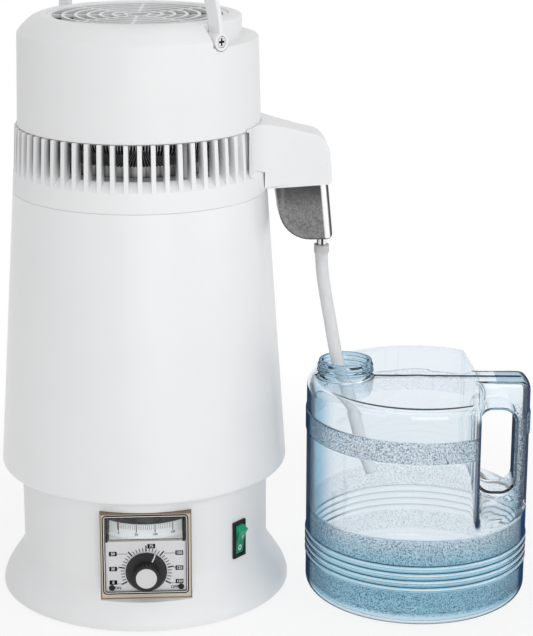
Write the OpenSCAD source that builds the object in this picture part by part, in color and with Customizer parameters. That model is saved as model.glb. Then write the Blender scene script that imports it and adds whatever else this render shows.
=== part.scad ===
// Countertop water distiller with a control base, a lift-off condenser head and a blue water jug.
// Origin: middle of the foot on the counter. +X is the spout side, -Y the control panel, +Z up.

/* [Base] */
// Radius of the foot where the flare meets the counter
foot_r = 119; // [112:0.5:130]
// Radius of the upright base wall
base_r = 101; // [98:0.5:106]
// Height of the base, up to the underside of the boiler
base_h = 105; // [102:0.5:120]
// Height at which the flare of the foot begins
flare_h = 40; // [25:1:50]
// Wall of the base moulding
base_wall = 3; // [2:0.25:4]
// Thickness of the deck that carries the boiler
deck_t = 3; // [2:0.25:5]
// Height of the rubber ring under the foot
foot_ring_h = 3; // [2:0.25:6]
// Width of the rubber ring under the foot
foot_ring_w = 10; // [6:0.5:14]
// Thickness of the bottom plate
plate_t = 2; // [1.5:0.25:4]

/* [Controller] */
// Side of the square front bezel
panel_size = 72; // [66:0.5:76]
// Height of the middle of the panel above the counter
panel_z = 57.5; // [56:0.5:60]
// How far the bezel stands proud of the base wall
panel_proud = 0.5; // [0:0.5:4]
// Width of the bezel rim round the dial
bezel_rim = 4; // [3:0.25:5]
// Width of the bezel rim above the meter window
brow_rim = 1.2; // [1:0.1:2]
// Depth of the bezel block
bezel_depth = 12; // [11:0.5:16]
// Depth of the case behind the bezel
case_depth = 56; // [50:1:64]
// Height of the meter window at the top of the panel
window_h = 22.5; // [21:0.5:24]
// Radius of the curved meter scale
scale_r = 45; // [42:0.5:46]
// Distance of the knob below the middle of the panel
knob_drop = 14; // [10:0.5:17]
// Diameter of the knob skirt
knob_d = 33; // [26:0.5:36]
// Diameter of the grip of the knob
grip_d = 19; // [16:0.5:22]
// Height of the knob
knob_h = 14; // [12:0.5:20]
// Diameter of the knob shaft
shaft_d = 6; // [5:0.25:7]

/* [Switch] */
// Width of the switch bezel
switch_w = 14.5; // [13:0.5:18]
// Height of the switch bezel
switch_h = 31; // [28:0.5:36]
// Height of the middle of the switch above the counter
switch_z = 57; // [50:0.5:64]
// Direction of the switch, in degrees from the front towards the spout
switch_turn = 47.5; // [40:0.5:60]

/* [Boiler] */
// Radius of the boiler shell at its bottom edge
boiler_low_r = 117; // [112:0.5:124]
// Radius of the boiler shell at the seam with the head
boiler_top_r = 101.5; // [100:0.25:103]
// Height of the boiler shell
boiler_h = 228.5; // [200:0.5:260]
// Wall of the boiler shell
boiler_wall = 1.5; // [1:0.25:2.5]
// Rounding of the bottom edge of the boiler
boiler_edge = 4; // [3:0.5:6]
// Gap between the mouth of the pot and the upper edge of the shell
pot_gap = 11.5; // [10.5:0.5:17.5]
// Radius of the pot at its floor
pot_low_r = 85; // [80:0.5:88]
// Rounding of the pot's bottom corner
pot_corner = 14; // [8:1:20]
// Wall of the steel pot
pot_wall = 1; // [0.75:0.25:2]
// Space under the pot for the heater
heater_room = 18; // [17:0.5:26]
// Thickness of the heating plate
heater_t = 6; // [4:0.5:8]
// Radius of the heating plate
heater_r = 68; // [64:1:72]

/* [Head] */
// Height of the plain band below the louvres
band_h = 15; // [12:0.5:20]
// Height of the louvre slats
slat_h = 36; // [30:0.5:44]
// Number of slat places round the ring
slat_count = 60; // [48:4:72]
// Width of one slat, in degrees
slat_deg = 2; // [1.5:0.1:2.6]
// Radius at the bottom of the slats
slat_low_r = 100.5; // [99.5:0.25:102]
// Radius at the top of the slats
slat_top_r = 98.5; // [97.5:0.25:99.5]
// Height of the cap from the slats to its shoulder
cap_h = 73; // [68:0.5:84]
// Rise of the shoulder from the cap wall to the crown
crown_h = 14; // [10:0.5:16]
// Radius of the cap at its lower edge
cap_low_r = 96.5; // [96:0.25:97.25]
// Radius of the cap at its shoulder
cap_top_r = 94.5; // [93.5:0.25:95.5]
// Wall of the cap moulding
cap_wall = 2.5; // [2:0.25:3]
// Radius of the fan guard in the crown
guard_r = 71; // [66:0.5:73]
// Number of rings in the fan guard
guard_rings = 6; // [4:1:8]
// Number of spokes in the fan guard
guard_spokes = 8; // [6:1:12]

/* [Condenser] */
// Radius of the condenser coil at the middle of its tube
coil_r = 66; // [62:0.5:67]
// Turns of the condenser coil
coil_turns = 2; // [1:1:2]
// Rise of the coil in one turn
coil_pitch = 16.5; // [16.2:0.1:17.5]
// Diameter of the condenser tube
tube_d = 8; // [7:0.25:8.5]
// Diameter of the cooling fins
fin_d = 16; // [13:0.5:16]
// Thickness of one fin
fin_t = 0.6; // [0.4:0.1:1]
// Radius of the dome of the steam lid
lid_r = 76; // [72:0.5:77]
// Height of the dome of the steam lid above its flange
lid_h = 28; // [24:0.5:29]
// Wall of the steam lid
lid_wall = 1; // [0.75:0.25:1.5]

/* [Fan] */
// Radius of the fan blades
fan_r = 58; // [48:0.5:62]
// Number of fan blades
fan_blades = 5; // [3:1:7]
// Radius of the fan motor
motor_r = 22; // [18:0.5:26]
// Height of the fan motor
motor_h = 34; // [28:0.5:36]
// Height of the pillars that carry the motor
pillar_h = 74; // [72:0.5:76]

/* [Handle] */
// Direction of the handle's right pivot, in degrees from the spout side
handle_turn = -48; // [-60:1:-40]
// Radius of the crown inside the handle's recess
crown_r = 81.5; // [80:0.5:82.5]
// Depth of the handle's recess below the shoulder of the cap
ledge_drop = 4; // [3:0.5:8]
// Width of the handle strap
strap_w = 11.5; // [9:0.5:11.5]
// Thickness of the handle strap
strap_t = 4; // [3:0.5:6]
// Radius of the handle's pivot ends
pivot_r = 6.8; // [6:0.2:7]
// Diameter of the pivot screws
pivot_d = 4; // [3:0.25:5]

/* [Spout] */
// Width of the spout housing
spout_w = 36; // [32:0.5:40]
// How far the spout reaches out from the middle of the head
spout_reach = 152.5; // [148:0.5:158]
// Wall of the spout housing
spout_wall = 2.2; // [1.6:0.2:3]
// Rounding along the edges of the spout housing
spout_round = 2.5; // [1.5:0.5:4]
// Wall of the steel cup
cup_wall = 0.8; // [0.5:0.1:1.2]
// Depth of the steel cup below the seam of the head
cup_drop = 42; // [36:0.5:48]
// Outer diameter of the hose nipple
nipple_d = 8; // [6:0.25:8.5]

/* [Hose] */
// Outer diameter of the hose
hose_d = 10.2; // [10:0.1:10.6]
// Outer diameter of the hose end that is pushed on the nipple
hose_end_d = 12.4; // [12:0.1:13]

/* [Jug] */
// Radius of the jug
jug_r = 90.5; // [84:0.5:92]
// Height of the jug to its flat top
jug_h = 181; // [176:0.5:200]
// Wall of the jug
jug_wall = 2.5; // [2:0.25:3]
// Outer radius of the jug's neck
neck_r = 21.5; // [21:0.25:24]
// Height of the neck above the top of the jug
neck_h = 14; // [10:0.5:18]
// Distance of the neck from the middle of the jug
neck_out = 59.5; // [57:0.5:61]
// Thickness of the jug's grip
grip_t = 32; // [26:0.5:38]
// Width of the finger hole
finger_w = 26; // [22:0.5:28]
// Height of the finger hole
finger_h = 68; // [56:1:76]
// Number of ribs round the foot of the jug
rib_count = 4; // [3:1:5]

/* [Hidden] */

$fn = 96;

// Clearances
seat_gap = 0.2;
run_gap = 0.3;
slide_gap = 0.6;
pin_gap = 0.06;
over = 1;

// Heights, built up from the counter
plate_z = foot_ring_h;
base_lift = 1;
seam_z = base_h + boiler_h;
head_z = seam_z + 0.4;
slat_z = seam_z + band_h + 1;
slat_top = slat_z + slat_h;
cap_z = slat_top + seat_gap;
shoulder_z = slat_top + cap_h;
crown_z = shoulder_z + crown_h;

// Base
flare_steps = 18;
deck_hole_r = 58;
post_r = 5;
post_at = [22, 158, 202, 338];
plate_r = foot_r - base_wall - 0.8;
plate_vents = 12;
vent_w = 5;
vent_l = 22;
vent_r = 56;
screw_d = 4;
screw_head_d = 8;
screw_head_h = 2.6;
screw_len = 12;
screw_room = 1.5;
post_bury = 1;
post_out = min(base_r - base_wall - post_r + post_bury,
    plate_r - over - foot_ring_w - screw_head_d / 2 - screw_room);

function smooth_step(t) = t * t * (3 - 2 * t);
function flipped(list) = [for (i = [len(list) - 1:-1:0]) list[i]];
function base_outline(inset) = concat(
    [for (i = [0:flare_steps]) let (t = i / flare_steps)
        [base_r + (foot_r - base_r) * smooth_step(1 - t) - inset, base_lift + (flare_h - base_lift) * t]],
    [[base_r - inset, base_h]]);
function arc(cx, cy, r, from, to, steps) =
    [for (i = [0:steps]) let (a = from + (to - from) * i / steps) [cx + r * cos(a), cy + r * sin(a)]];

// Back fittings of the base and head
inlet_w = 31;
inlet_h = 24;
inlet_z = 52;
inlet_x = -14;
inlet_recess = [24.5, 16.5, 16];
inlet_flange = 2.5;
inlet_body = 20;
pad_proud = 2;
fan_plug = [22, 14, 9.5];
fan_recess = [16.5, 9, 9];
fan_plug_x = 28;
fan_pin_d = 2.4;
fan_pin_at = 4.4;
reset_x = 58;
reset_d = 10;
reset_travel = 3;
reset_flange = 2;
reset_depth = 11;
reset_stem_d = 4;
reset_turn = asin(reset_x / base_r);

// Controller
panel_y = -(base_r + panel_proud);
bezel_back = panel_y + bezel_depth;
dial_size = panel_size - 2 * bezel_rim;
dial_low = panel_z - panel_size / 2 + bezel_rim;
dial_top = panel_z + panel_size / 2 - brow_rim;
dial_h = dial_top - dial_low;
dial_floor = 3;
dial_t = 1.2;
dial_face = panel_y + dial_floor - dial_t;
case_side = panel_size - 5;
case_wall = 2;
window_z = dial_top - window_h / 2;
window_t = 1.5;
meter_y = panel_y + dial_floor + 2.5 + scale_r;
scale_half_deg = 40;
scale_t = 1;
scale_low = window_z - window_h / 2 + 1;
scale_high = scale_low + 11;
shelf_t = 2;
movement_r = 13;
movement_h = 10;
needle_rest = -28.5;
needle_t = 0.8;
knob_z = panel_z - knob_drop;
skirt_h = 3;
cap_disc_t = 1;
cap_disc_d = grip_d - 2.5;
lamp_d = 4.8;
lamp_x = dial_size / 2 - 4.6;
lamp_z = dial_low + 4.6;

// Switch
switch_proud = 2;
switch_rim = 2.6;
switch_body_d = 20;
rocker_w = switch_w - 2 * switch_rim;
rocker_h = switch_h - 2 * switch_rim - 0.6;
rocker_pin_d = 2.5;
rocker_pin_in = 3;

// Boiler
boiler_floor_hole = 60;
pot_z = base_h + heater_room + heater_t;
pot_rim_in = 4;
pot_top_r = boiler_top_r - pot_gap;
pot_rim_r = boiler_top_r - pot_rim_in;
pot_rim_t = 1;
element_d = 8;
element_r = 48;
tab_apart = 7;
tab_t = 1;
tab_w = 6;
tab_h = 12;
stud_r = 63;
stud_d = 6;
nut_d = 10;
nut_h = 4;
cutout_r = 12;
cutout_h = 9;

// Head
band_r = slat_low_r + 1;
band_wall = 3;
slat_in_r = 91.5;
slat_bury = 0.25;
slope_rise = 7.5;
rim_h = 4.5;
rim_r = cap_low_r - cap_wall - run_gap;
floor_in_r = lid_r + 2;
floor_z = slat_z + slope_rise - 3;
spout_half_deg = 33;
fan_inlet_z = slat_z - band_h / 2 + seat_gap;
shoulder_steps = 10;
shoulder_bow = 2;
guard_t = 3;
guard_bar = 2.6;
guard_lip = 3;
guard_drop = 1.5;
guard_turn = -4;
guard_hub_r = 9.5;
guard_z = crown_z - guard_drop - guard_t;

// Handle
pivot_z = shoulder_z - ledge_drop + 4;
ledge_z = shoulder_z - ledge_drop;
strap_gap = 1.1;
strap_in_r = crown_r + strap_gap;
strap_out_r = strap_in_r + strap_w;
recess_margin = 5.2;
pivot_room = 0.5;

// Steam path
lid_flange_t = 1.2;
seal_h = 2.6;
lid_z = seam_z + pot_rim_t + seat_gap + seal_h;
lid_top = lid_z + lid_h;
lid_dome = 3.5;
loop_rings = 24;
tube_sides = 6;
fins_per_ring = 4;
block = tube_d + 5;
riser_r = 42;
coil_steps = loop_rings * coil_turns + loop_rings / 2;
fin_clear = 2;
coil_low = lid_top + fin_d / 2 + fin_clear;
coil_end = coil_low + coil_pitch * coil_steps / loop_rings;

// Fan
pillar_r = 5;
pillar_out = 84.5;
pillar_turn = -64;
pillar_z = floor_z + 3;
bracket_z = pillar_z + pillar_h;
bracket_t = 2;
arm_w = 12;
fan_shaft_d = 5;
hub_r = 15;
hub_h = 13;
hub_z = bracket_z + bracket_t + 3;
blade_pitch = 32;
blade_t = 1.6;

// Spout and cup
spout_in = slat_in_r + 4;
spout_low = seam_z + 2.8;
spout_lift = 3.2;
spout_top = slat_top + 2.5;
spout_knee = [134, slat_top - 7];
knee_r = 16;
flare_deg = 31;
flare_tip = spout_in + 26.5;
flare_x = (slat_low_r + 0.5) * cos(flare_deg);
flare_y = (slat_low_r + 0.5) * sin(flare_deg);
flare_rise = flare_y - spout_w / 2;
flare_r = (pow(flare_tip - flare_x, 2) + pow(flare_rise, 2)) / (2 * flare_rise);
flare_from = 360 - acos((flare_x - flare_tip) / flare_r);
cup_top_z = seam_z + 9;
cup_low_z = seam_z - cup_drop;
cup_left = 110;
cup_slant = 3.7;
cup_right = spout_reach + 1.3;
cup_lean = 4.4;
cup_bow = 26;
cup_corner = 4;
cup_half = spout_w / 2 - spout_wall - slide_gap;
cup_round = 8;
nipple_x = 146;
nipple_len = 20;

// Hose route from the nipple into the jug, with the tube's middle at each point
hose_route = [
    [146, 0, 284], [146, 0, 272], [146.8, -2.5, 260], [148.2, -7.5, 248], [150, -13.5, 236],
    [152, -20, 223], [154, -25.5, 210], [156.4, -29.5, 197], [159.6, -32, 184], [163.8, -33.5, 171],
    [168.2, -34, 158], [172, -34, 145], [175.4, -34, 132], [179, -34, 119], [182.4, -34, 109],
    [186, -34, 100]];
hose_sides = 12;
hose_wall = 1.4;

// Jug
jug_at = [223, -33, 0];
jug_corner = 9;
jug_shoulder = 8;
rib_pitch = 6;
rib_low = 30;
rib_out = 1;
band_low = 137;
band_high = 155;
band_out = 0.8;
pocket_z = 66;
pocket_in = 53;
pocket_out = 33;
finger_x = pocket_in + finger_w / 2;
finger_low = 84;
finger_round = 11;
neck_wall = 3;
thread_r = 1;

// A flat ring
module ring(outer, inner, h) {
    difference() {
        cylinder(r = outer, h = h);
        translate([0, 0, -over]) cylinder(r = inner, h = h + 2 * over);
    }
}

// A tube swept along points, with its own radius at each point and an optional bore
function unit(v) = v / norm(v);
function heading(path, i) = unit(path[min(i + 1, len(path) - 1)] - path[max(i - 1, 0)]);
function side_of(d) = abs(d[2]) > 0.9 ? unit(cross([0, 1, 0], d)) : unit(cross(d, [0, 0, 1]));
function loop_at(path, radii, sides, i) =
    let (d = heading(path, i), u = side_of(d), v = cross(d, u))
    [for (k = [0:sides - 1]) let (a = 360 * k / sides) path[i] + radii[i] * (cos(a) * u + sin(a) * v)];
function skin(path, radii, sides) = [for (i = [0:len(path) - 1]) each loop_at(path, radii, sides, i)];
function quad(a, b, c, d) = [[a, b, c], [a, c, d]];
function wall_faces(rings, sides, first) = [for (i = [0:rings - 2], k = [0:sides - 1])
    let (j = (k + 1) % sides, a = first + i * sides)
    each quad(a + k, a + sides + k, a + sides + j, a + j)];
function end_fan(first, sides) = [for (k = [1:sides - 2]) [first, first + k, first + k + 1]];
function turned(faces) = [for (f = faces) [f[0], f[2], f[1]]];
function end_ring(outer, inner, sides) = [for (k = [0:sides - 1]) let (j = (k + 1) % sides)
    each quad(outer + k, outer + j, inner + j, inner + k)];

module solid_tube(path, radii, sides) {
    rings = len(path);
    polyhedron(skin(path, radii, sides), concat(
        wall_faces(rings, sides, 0), end_fan(0, sides), turned(end_fan((rings - 1) * sides, sides))));
}

module hollow_tube(path, radii, wall, sides) {
    rings = len(path);
    count = rings * sides;
    bore = [for (r = radii) r - wall];
    polyhedron(concat(skin(path, radii, sides), skin(path, bore, sides)), concat(
        wall_faces(rings, sides, 0), turned(wall_faces(rings, sides, count)),
        end_ring(0, count, sides),
        turned(end_ring(count - sides, 2 * count - sides, sides))));
}

// A box in the panel's own place: x across, z up, y from front to back
module panel_box(w, h, front, back, z) {
    translate([-w / 2, front, z - h / 2]) cube([w, back - front, h]);
}

// A rod along Y
module rod_y(d, front, back, x, z) {
    translate([x, back, z]) rotate([90, 0, 0]) cylinder(d = d, h = back - front);
}

// A round-cornered bar in the XY plane
module rounded_plate(w, h, r, t) {
    linear_extrude(t) union() {
        square([w - 2 * r, h], center = true);
        square([w, h - 2 * r], center = true);
        for (x = [-1, 1], y = [-1, 1]) translate([x * (w / 2 - r), y * (h / 2 - r)]) circle(r = r);
    }
}

// Places for what repeats
module at_posts() {
    for (a = post_at) rotate([0, 0, a]) translate([post_out, 0, 0]) children();
}
module at_pillars() {
    for (k = [0:3]) rotate([0, 0, pillar_turn + 90 * k]) translate([pillar_out, 0, 0]) children();
}
module at_studs() {
    for (k = [0:2]) rotate([0, 0, 90 + 120 * k]) translate([stud_r, 0, 0]) children();
}
module at_switch() {
    rotate([0, 0, switch_turn]) translate([0, -base_r, switch_z]) children();
}
module at_reset() {
    rotate([0, 0, -reset_turn]) translate([0, base_r, inlet_z]) children();
}
module at_pivots() {
    for (s = [0, 180]) rotate([0, 0, handle_turn + s]) children();
}

// Base
module foot_ring() {
    color("dimgray") ring(plate_r - over, plate_r - over - foot_ring_w, foot_ring_h);
}

module back_pad(w, h, x, z, proud) {
    translate([x - w / 2, base_r - base_wall - 6, z - h / 2]) cube([w, base_wall + 6 + proud, h]);
}

module base_shell() {
    inlet_face = base_r + pad_proud;
    notch = panel_size + 2 * seat_gap;
    frame = notch + 2 * base_wall;
    color("white") difference() {
        union() {
            rotate_extrude() polygon(concat(base_outline(0), flipped(base_outline(base_wall))));
            intersection() {
                rotate_extrude() polygon(concat([[0, base_lift]], base_outline(0), [[0, base_h]]));
                panel_box(frame, frame, -foot_r, bezel_back, panel_z);
            }
            translate([0, 0, base_h - deck_t]) ring(base_r - over, deck_hole_r, deck_t);
            at_posts() translate([0, 0, plate_z + plate_t])
                cylinder(r = post_r, h = base_h - deck_t - plate_z);
            back_pad(inlet_w + 4, inlet_h + 4, inlet_x, inlet_z, pad_proud);
            back_pad(fan_plug[0] + 4, fan_plug[1] + 4, fan_plug_x, inlet_z, pad_proud - 1);
        }
        panel_box(notch, notch, -foot_r - over, bezel_back + 3, panel_z);
        at_switch() panel_box(switch_w - switch_rim + 2 * seat_gap,
            switch_h - switch_rim + 2 * seat_gap, -over, base_wall + 8, 0);
        translate([inlet_x, 0, 0])
            panel_box(inlet_w - 3.5, inlet_h - 4.5, base_r - inlet_body, inlet_face + over, inlet_z);
        translate([fan_plug_x, 0, 0])
            panel_box(fan_plug[0] - 2.5, fan_plug[1] - 2.5, base_r - inlet_body, inlet_face + over, inlet_z);
        at_reset() rod_y(reset_d + 4 + 2 * seat_gap, -12, 5, 0, 0);
        at_studs() translate([0, 0, base_h - deck_t - over])
            cylinder(d = stud_d + 1, h = deck_t + 2 * over);
        at_posts() translate([0, 0, plate_z]) cylinder(d = screw_d + pin_gap, h = screw_len + 2);
    }
}

module bottom_plate() {
    color("gainsboro") difference() {
        translate([0, 0, plate_z]) cylinder(r = plate_r, h = plate_t);
        for (k = [0:plate_vents - 1]) rotate([0, 0, 360 * k / plate_vents])
            translate([vent_r, 0, plate_z - over])
                rounded_plate(vent_l, vent_w, vent_w / 2 - 0.01, plate_t + 2 * over);
        at_posts() translate([0, 0, plate_z - over])
            cylinder(d = screw_d + 2 * run_gap, h = plate_t + 2 * over);
    }
}

module plate_screws() {
    color("silver") at_posts() union() {
        translate([0, 0, plate_z - screw_head_h]) cylinder(d = screw_head_d, h = screw_head_h);
        translate([0, 0, plate_z - over]) cylinder(d = screw_d, h = screw_len);
    }
}

// A recessed power inlet with a flange that stands on the outside of its wall
module socket_shell(w, h, body, recess, flange) {
    difference() {
        union() {
            panel_box(w, h, 0, flange, 0);
            panel_box(w - 4, h - 5, -body, over, 0);
        }
        panel_box(recess[0], recess[1], flange - recess[2], flange + over, 0);
    }
}

module mains_inlet() {
    pin = [2, 13, 4];
    pin_row = 2.4;
    pin_side = 7;
    color("black") translate([inlet_x, base_r + pad_proud, inlet_z]) union() {
        socket_shell(inlet_w, inlet_h, inlet_body, inlet_recess, inlet_flange);
        for (p = [[-pin_side, -pin_row], [0, pin_row], [pin_side, -pin_row]])
            translate([p[0] - pin[0] / 2, inlet_flange - inlet_recess[2] - over, p[1] - pin[2] / 2])
                cube([pin[0], pin[1] + over, pin[2]]);
    }
}

module fan_outlet() {
    color("black") translate([fan_plug_x, base_r + pad_proud - 1, inlet_z]) difference() {
        socket_shell(fan_plug[0], fan_plug[1], 14, fan_recess, 2);
        for (s = [-1, 1]) rod_y(fan_pin_d + 0.4, -12, 0, s * fan_pin_at, 0);
    }
}

module reset_collar() {
    color("black") at_reset() difference() {
        union() {
            rod_y(reset_d + 8, 0, reset_flange, 0, 0);
            rod_y(reset_d + 4, -reset_depth, over, 0, 0);
        }
        rod_y(reset_d + 2 * run_gap, 3 - reset_depth, reset_flange + over, 0, 0);
        rod_y(reset_stem_d + 2 * run_gap, -reset_depth - over, 0, 0, 0);
    }
}

module reset_button() {
    color("red") at_reset() union() {
        rod_y(reset_d, reset_travel + 4 - reset_depth, reset_flange + reset_travel - 0.6, 0, 0);
        rod_y(reset_stem_d, -reset_depth - run_gap - over, 0, 0, 0);
        rod_y(2 * reset_stem_d, -reset_depth - run_gap - 1.5, -reset_depth - run_gap, 0, 0);
    }
}

// Controller
module controller_bezel() {
    color("tan") difference() {
        panel_box(panel_size, panel_size, panel_y, bezel_back, panel_z);
        panel_box(dial_size, dial_h, panel_y - over, panel_y + dial_floor, dial_low + dial_h / 2);
        panel_box(dial_size - 3, window_h - 1, panel_y, bezel_back + over, window_z);
        rod_y(shaft_d + 3, panel_y, bezel_back + over, 0, knob_z);
        for (s = [-1, 1])
            rod_y(lamp_d + 2 * pin_gap, panel_y, panel_y + dial_floor + 4, s * lamp_x, lamp_z);
    }
}

module controller_case() {
    shelf_z = scale_low - shelf_t;
    inner = case_side - 2 * case_wall;
    color("dimgray") union() {
        difference() {
            panel_box(case_side, case_side, bezel_back, bezel_back + case_depth, panel_z);
            panel_box(inner, inner, bezel_back - over, bezel_back + case_depth - case_wall, panel_z);
        }
        panel_box(inner + over, shelf_t, bezel_back, bezel_back + case_depth - over, shelf_z + shelf_t / 2);
    }
}

module dial_plate() {
    plate_h = dial_h - window_h - 0.5;
    color("lightgray") difference() {
        panel_box(dial_size - 2 * seat_gap, plate_h, dial_face, dial_face + dial_t,
            dial_low + plate_h / 2 + seat_gap);
        rod_y(shaft_d + 3, dial_face - over, dial_face + dial_t + over, 0, knob_z);
        for (s = [-1, 1])
            rod_y(lamp_d + 2 * pin_gap, dial_face - over, dial_face + dial_t + over, s * lamp_x, lamp_z);
    }
}

module meter_scale() {
    color("white") translate([0, meter_y, scale_low]) rotate([0, 0, -90 - scale_half_deg])
        rotate_extrude(angle = 2 * scale_half_deg) translate([scale_r - scale_t, 0])
            square([scale_t, scale_high - scale_low]);
}

module meter_movement() {
    color("darkgray") translate([0, meter_y, scale_low]) union() {
        cylinder(r = movement_r, h = movement_h);
        cylinder(d = 2, h = scale_high - scale_low + 3);
    }
}

module meter_needle() {
    arm_z = scale_high + 0.8;
    color("red") translate([0, meter_y, 0]) rotate([0, 0, needle_rest]) union() {
        translate([0, 0, scale_low + movement_h + run_gap])
            ring(3.5, 1 + pin_gap, arm_z - scale_low - movement_h + 0.5);
        translate([-needle_t / 2, -scale_r - 1.4, arm_z]) cube([needle_t, scale_r - 1.5, needle_t]);
        translate([-needle_t / 2, -scale_r - 1.4, arm_z - 6]) cube([needle_t, needle_t, 6 + needle_t]);
    }
}

module meter_window() {
    color("azure", 0.35)
        panel_box(dial_size - 2 * seat_gap, window_h - seat_gap, dial_face + dial_t - window_t,
            dial_face + dial_t, window_z);
}

module lamp_lenses() {
    color("maroon") for (s = [-1, 1])
        rod_y(lamp_d, dial_face - 0.8, panel_y + dial_floor + 4, s * lamp_x, lamp_z);
}

module dial_potentiometer() {
    color("silver") difference() {
        union() {
            rod_y(24, bezel_back, bezel_back + 10, 0, knob_z);
            rod_y(shaft_d + 2.6, bezel_back - 7, bezel_back + over, 0, knob_z);
            translate([-6, bezel_back, knob_z - 17]) cube([12, 2, 8]);
        }
        rod_y(shaft_d + 2 * pin_gap, bezel_back - 7 - over, bezel_back + 8, 0, knob_z);
    }
}

module knob_shaft() {
    color("silver") rod_y(shaft_d, dial_face - knob_h + 3, bezel_back + 7.8, 0, knob_z);
}

module control_knob() {
    skirt_front = dial_face - 1 - skirt_h;
    top = dial_face - knob_h;
    color("black") difference() {
        union() {
            translate([0, dial_face - 1, knob_z]) rotate([90, 0, 0])
                cylinder(d1 = knob_d, d2 = knob_d - 4, h = skirt_h);
            rod_y(grip_d, top, skirt_front + over, 0, knob_z);
            for (k = [0:23]) translate([0, 0, knob_z]) rotate([0, 15 * k, 0])
                rod_y(2, top + 1, skirt_front + over, grip_d / 2 - 0.3, 0);
        }
        rod_y(shaft_d, top + 3 - over / 2, dial_face, 0, knob_z);
        rod_y(cap_disc_d + 2 * pin_gap, top - over, top + cap_disc_t, 0, knob_z);
    }
}

module knob_cap() {
    color("gainsboro") difference() {
        rod_y(cap_disc_d, dial_face - knob_h - 0.4, dial_face - knob_h + cap_disc_t, 0, knob_z);
        rod_y(cap_disc_d - 4, dial_face - knob_h - 0.4 - over, dial_face - knob_h - 0.1, 0, knob_z);
    }
}

// Switch
module switch_body() {
    color("black") at_switch() difference() {
        union() {
            panel_box(switch_w, switch_h, -switch_proud, 0, 0);
            panel_box(switch_w - switch_rim, switch_h - switch_rim, -over, switch_body_d, 0);
            for (z = [-8, 0, 8]) panel_box(4.8, 0.8, switch_body_d - over, switch_body_d + 8, z);
        }
        panel_box(rocker_w + 2 * run_gap, rocker_h + 2 * run_gap, -switch_proud - over, 12, 0);
        translate([-switch_w / 2 + 1.6, rocker_pin_in, 0]) rotate([0, 90, 0])
            cylinder(d = rocker_pin_d + 2 * pin_gap, h = switch_w - 3.2);
    }
}

module switch_rocker() {
    outline = [[1.5, 0.5 - rocker_h / 2], [-1.2, -rocker_h / 2 + 0.3], [-2.4, -1.5], [-4.2, 4],
        [-6.8, rocker_h / 2 - 4], [-1.5, rocker_h / 2 - 0.6], [4, rocker_h / 2 - 2.2], [6.5, 0],
        [5, -rocker_h / 2 + 3]];
    color("seagreen") at_switch() union() {
        translate([-rocker_w / 2, 0, 0]) rotate([90, 0, 90]) linear_extrude(rocker_w) polygon(outline);
        translate([-rocker_w / 2 - 0.8, rocker_pin_in, 0]) rotate([0, 90, 0])
            cylinder(d = rocker_pin_d, h = rocker_w + 1.6);
    }
}

// Boiler
function boiler_outline(inset) = concat(
    [[boiler_floor_hole, base_h + inset]],
    arc(boiler_low_r - boiler_edge, base_h + boiler_edge, boiler_edge - inset, -90, 0, 6),
    [[boiler_top_r - inset, seam_z - inset]]);

module boiler_shell() {
    color("white") difference() {
        rotate_extrude() polygon(concat(boiler_outline(0), [[pot_top_r + pot_wall + 2, seam_z]],
            [[pot_top_r + pot_wall + 2, seam_z - boiler_wall]], flipped(boiler_outline(boiler_wall))));
        at_studs() translate([0, 0, base_h - over]) cylinder(d = stud_d + 1, h = boiler_wall + 2 * over);
    }
}

function pot_outline(inset) = concat(
    [[0, pot_z + inset]],
    arc(pot_low_r + pot_wall - pot_corner, pot_z + pot_corner, pot_corner - inset, -90, 0, 8),
    [[pot_top_r + pot_wall - inset, seam_z]]);

module boiler_pot() {
    rim_top = seam_z + pot_rim_t;
    color("silver") rotate_extrude() polygon(concat(pot_outline(0),
        [[pot_rim_r, seam_z], [pot_rim_r, rim_top], [pot_top_r, rim_top]], flipped(pot_outline(pot_wall))));
}

module heating_plate() {
    color("darkgray") union() {
        translate([0, 0, pot_z - heater_t]) cylinder(r = heater_r, h = heater_t);
        translate([0, 0, pot_z - heater_t]) rotate_extrude() translate([element_r, 0])
            circle(d = element_d, $fn = 24);
        for (s = [-1, 1])
            translate([s * tab_apart - tab_t / 2, -element_r - tab_w / 2, pot_z - heater_t - tab_h])
                cube([tab_t, tab_w, tab_h]);
    }
}

module thermal_cutout() {
    top = pot_z - heater_t;
    color("ivory") union() {
        translate([0, 0, top - cutout_h]) cylinder(r = cutout_r, h = cutout_h);
        translate([0, 0, top - 1]) rounded_plate(40, 10, 4.9, 1);
        for (s = [-1, 1]) translate([s * 5 - 0.4, -3, top - cutout_h - 5]) cube([0.8, 6, 6]);
    }
}

module heater_studs() {
    low = base_h - deck_t - nut_h - 3;
    color("silver") at_studs() union() {
        translate([0, 0, low]) cylinder(d = stud_d, h = pot_z - heater_t - low);
        translate([0, 0, base_h - deck_t - nut_h]) cylinder(d = nut_d, h = nut_h, $fn = 6);
        translate([0, 0, base_h + boiler_wall]) cylinder(d = nut_d, h = nut_h, $fn = 6);
    }
}

// Head
module slat() {
    rotate([0, 0, -slat_deg / 2]) rotate_extrude(angle = slat_deg) polygon([
        [slat_in_r + slat_bury, slat_z + slope_rise - 2], [slat_low_r - 2, slat_z - 1],
        [slat_low_r - slat_bury, slat_z],
        [slat_top_r, slat_top], [rim_r - slat_bury, slat_top], [rim_r - slat_bury, slat_top + 2],
        [slat_in_r + slat_bury, slat_top + 2]]);
}

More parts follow.
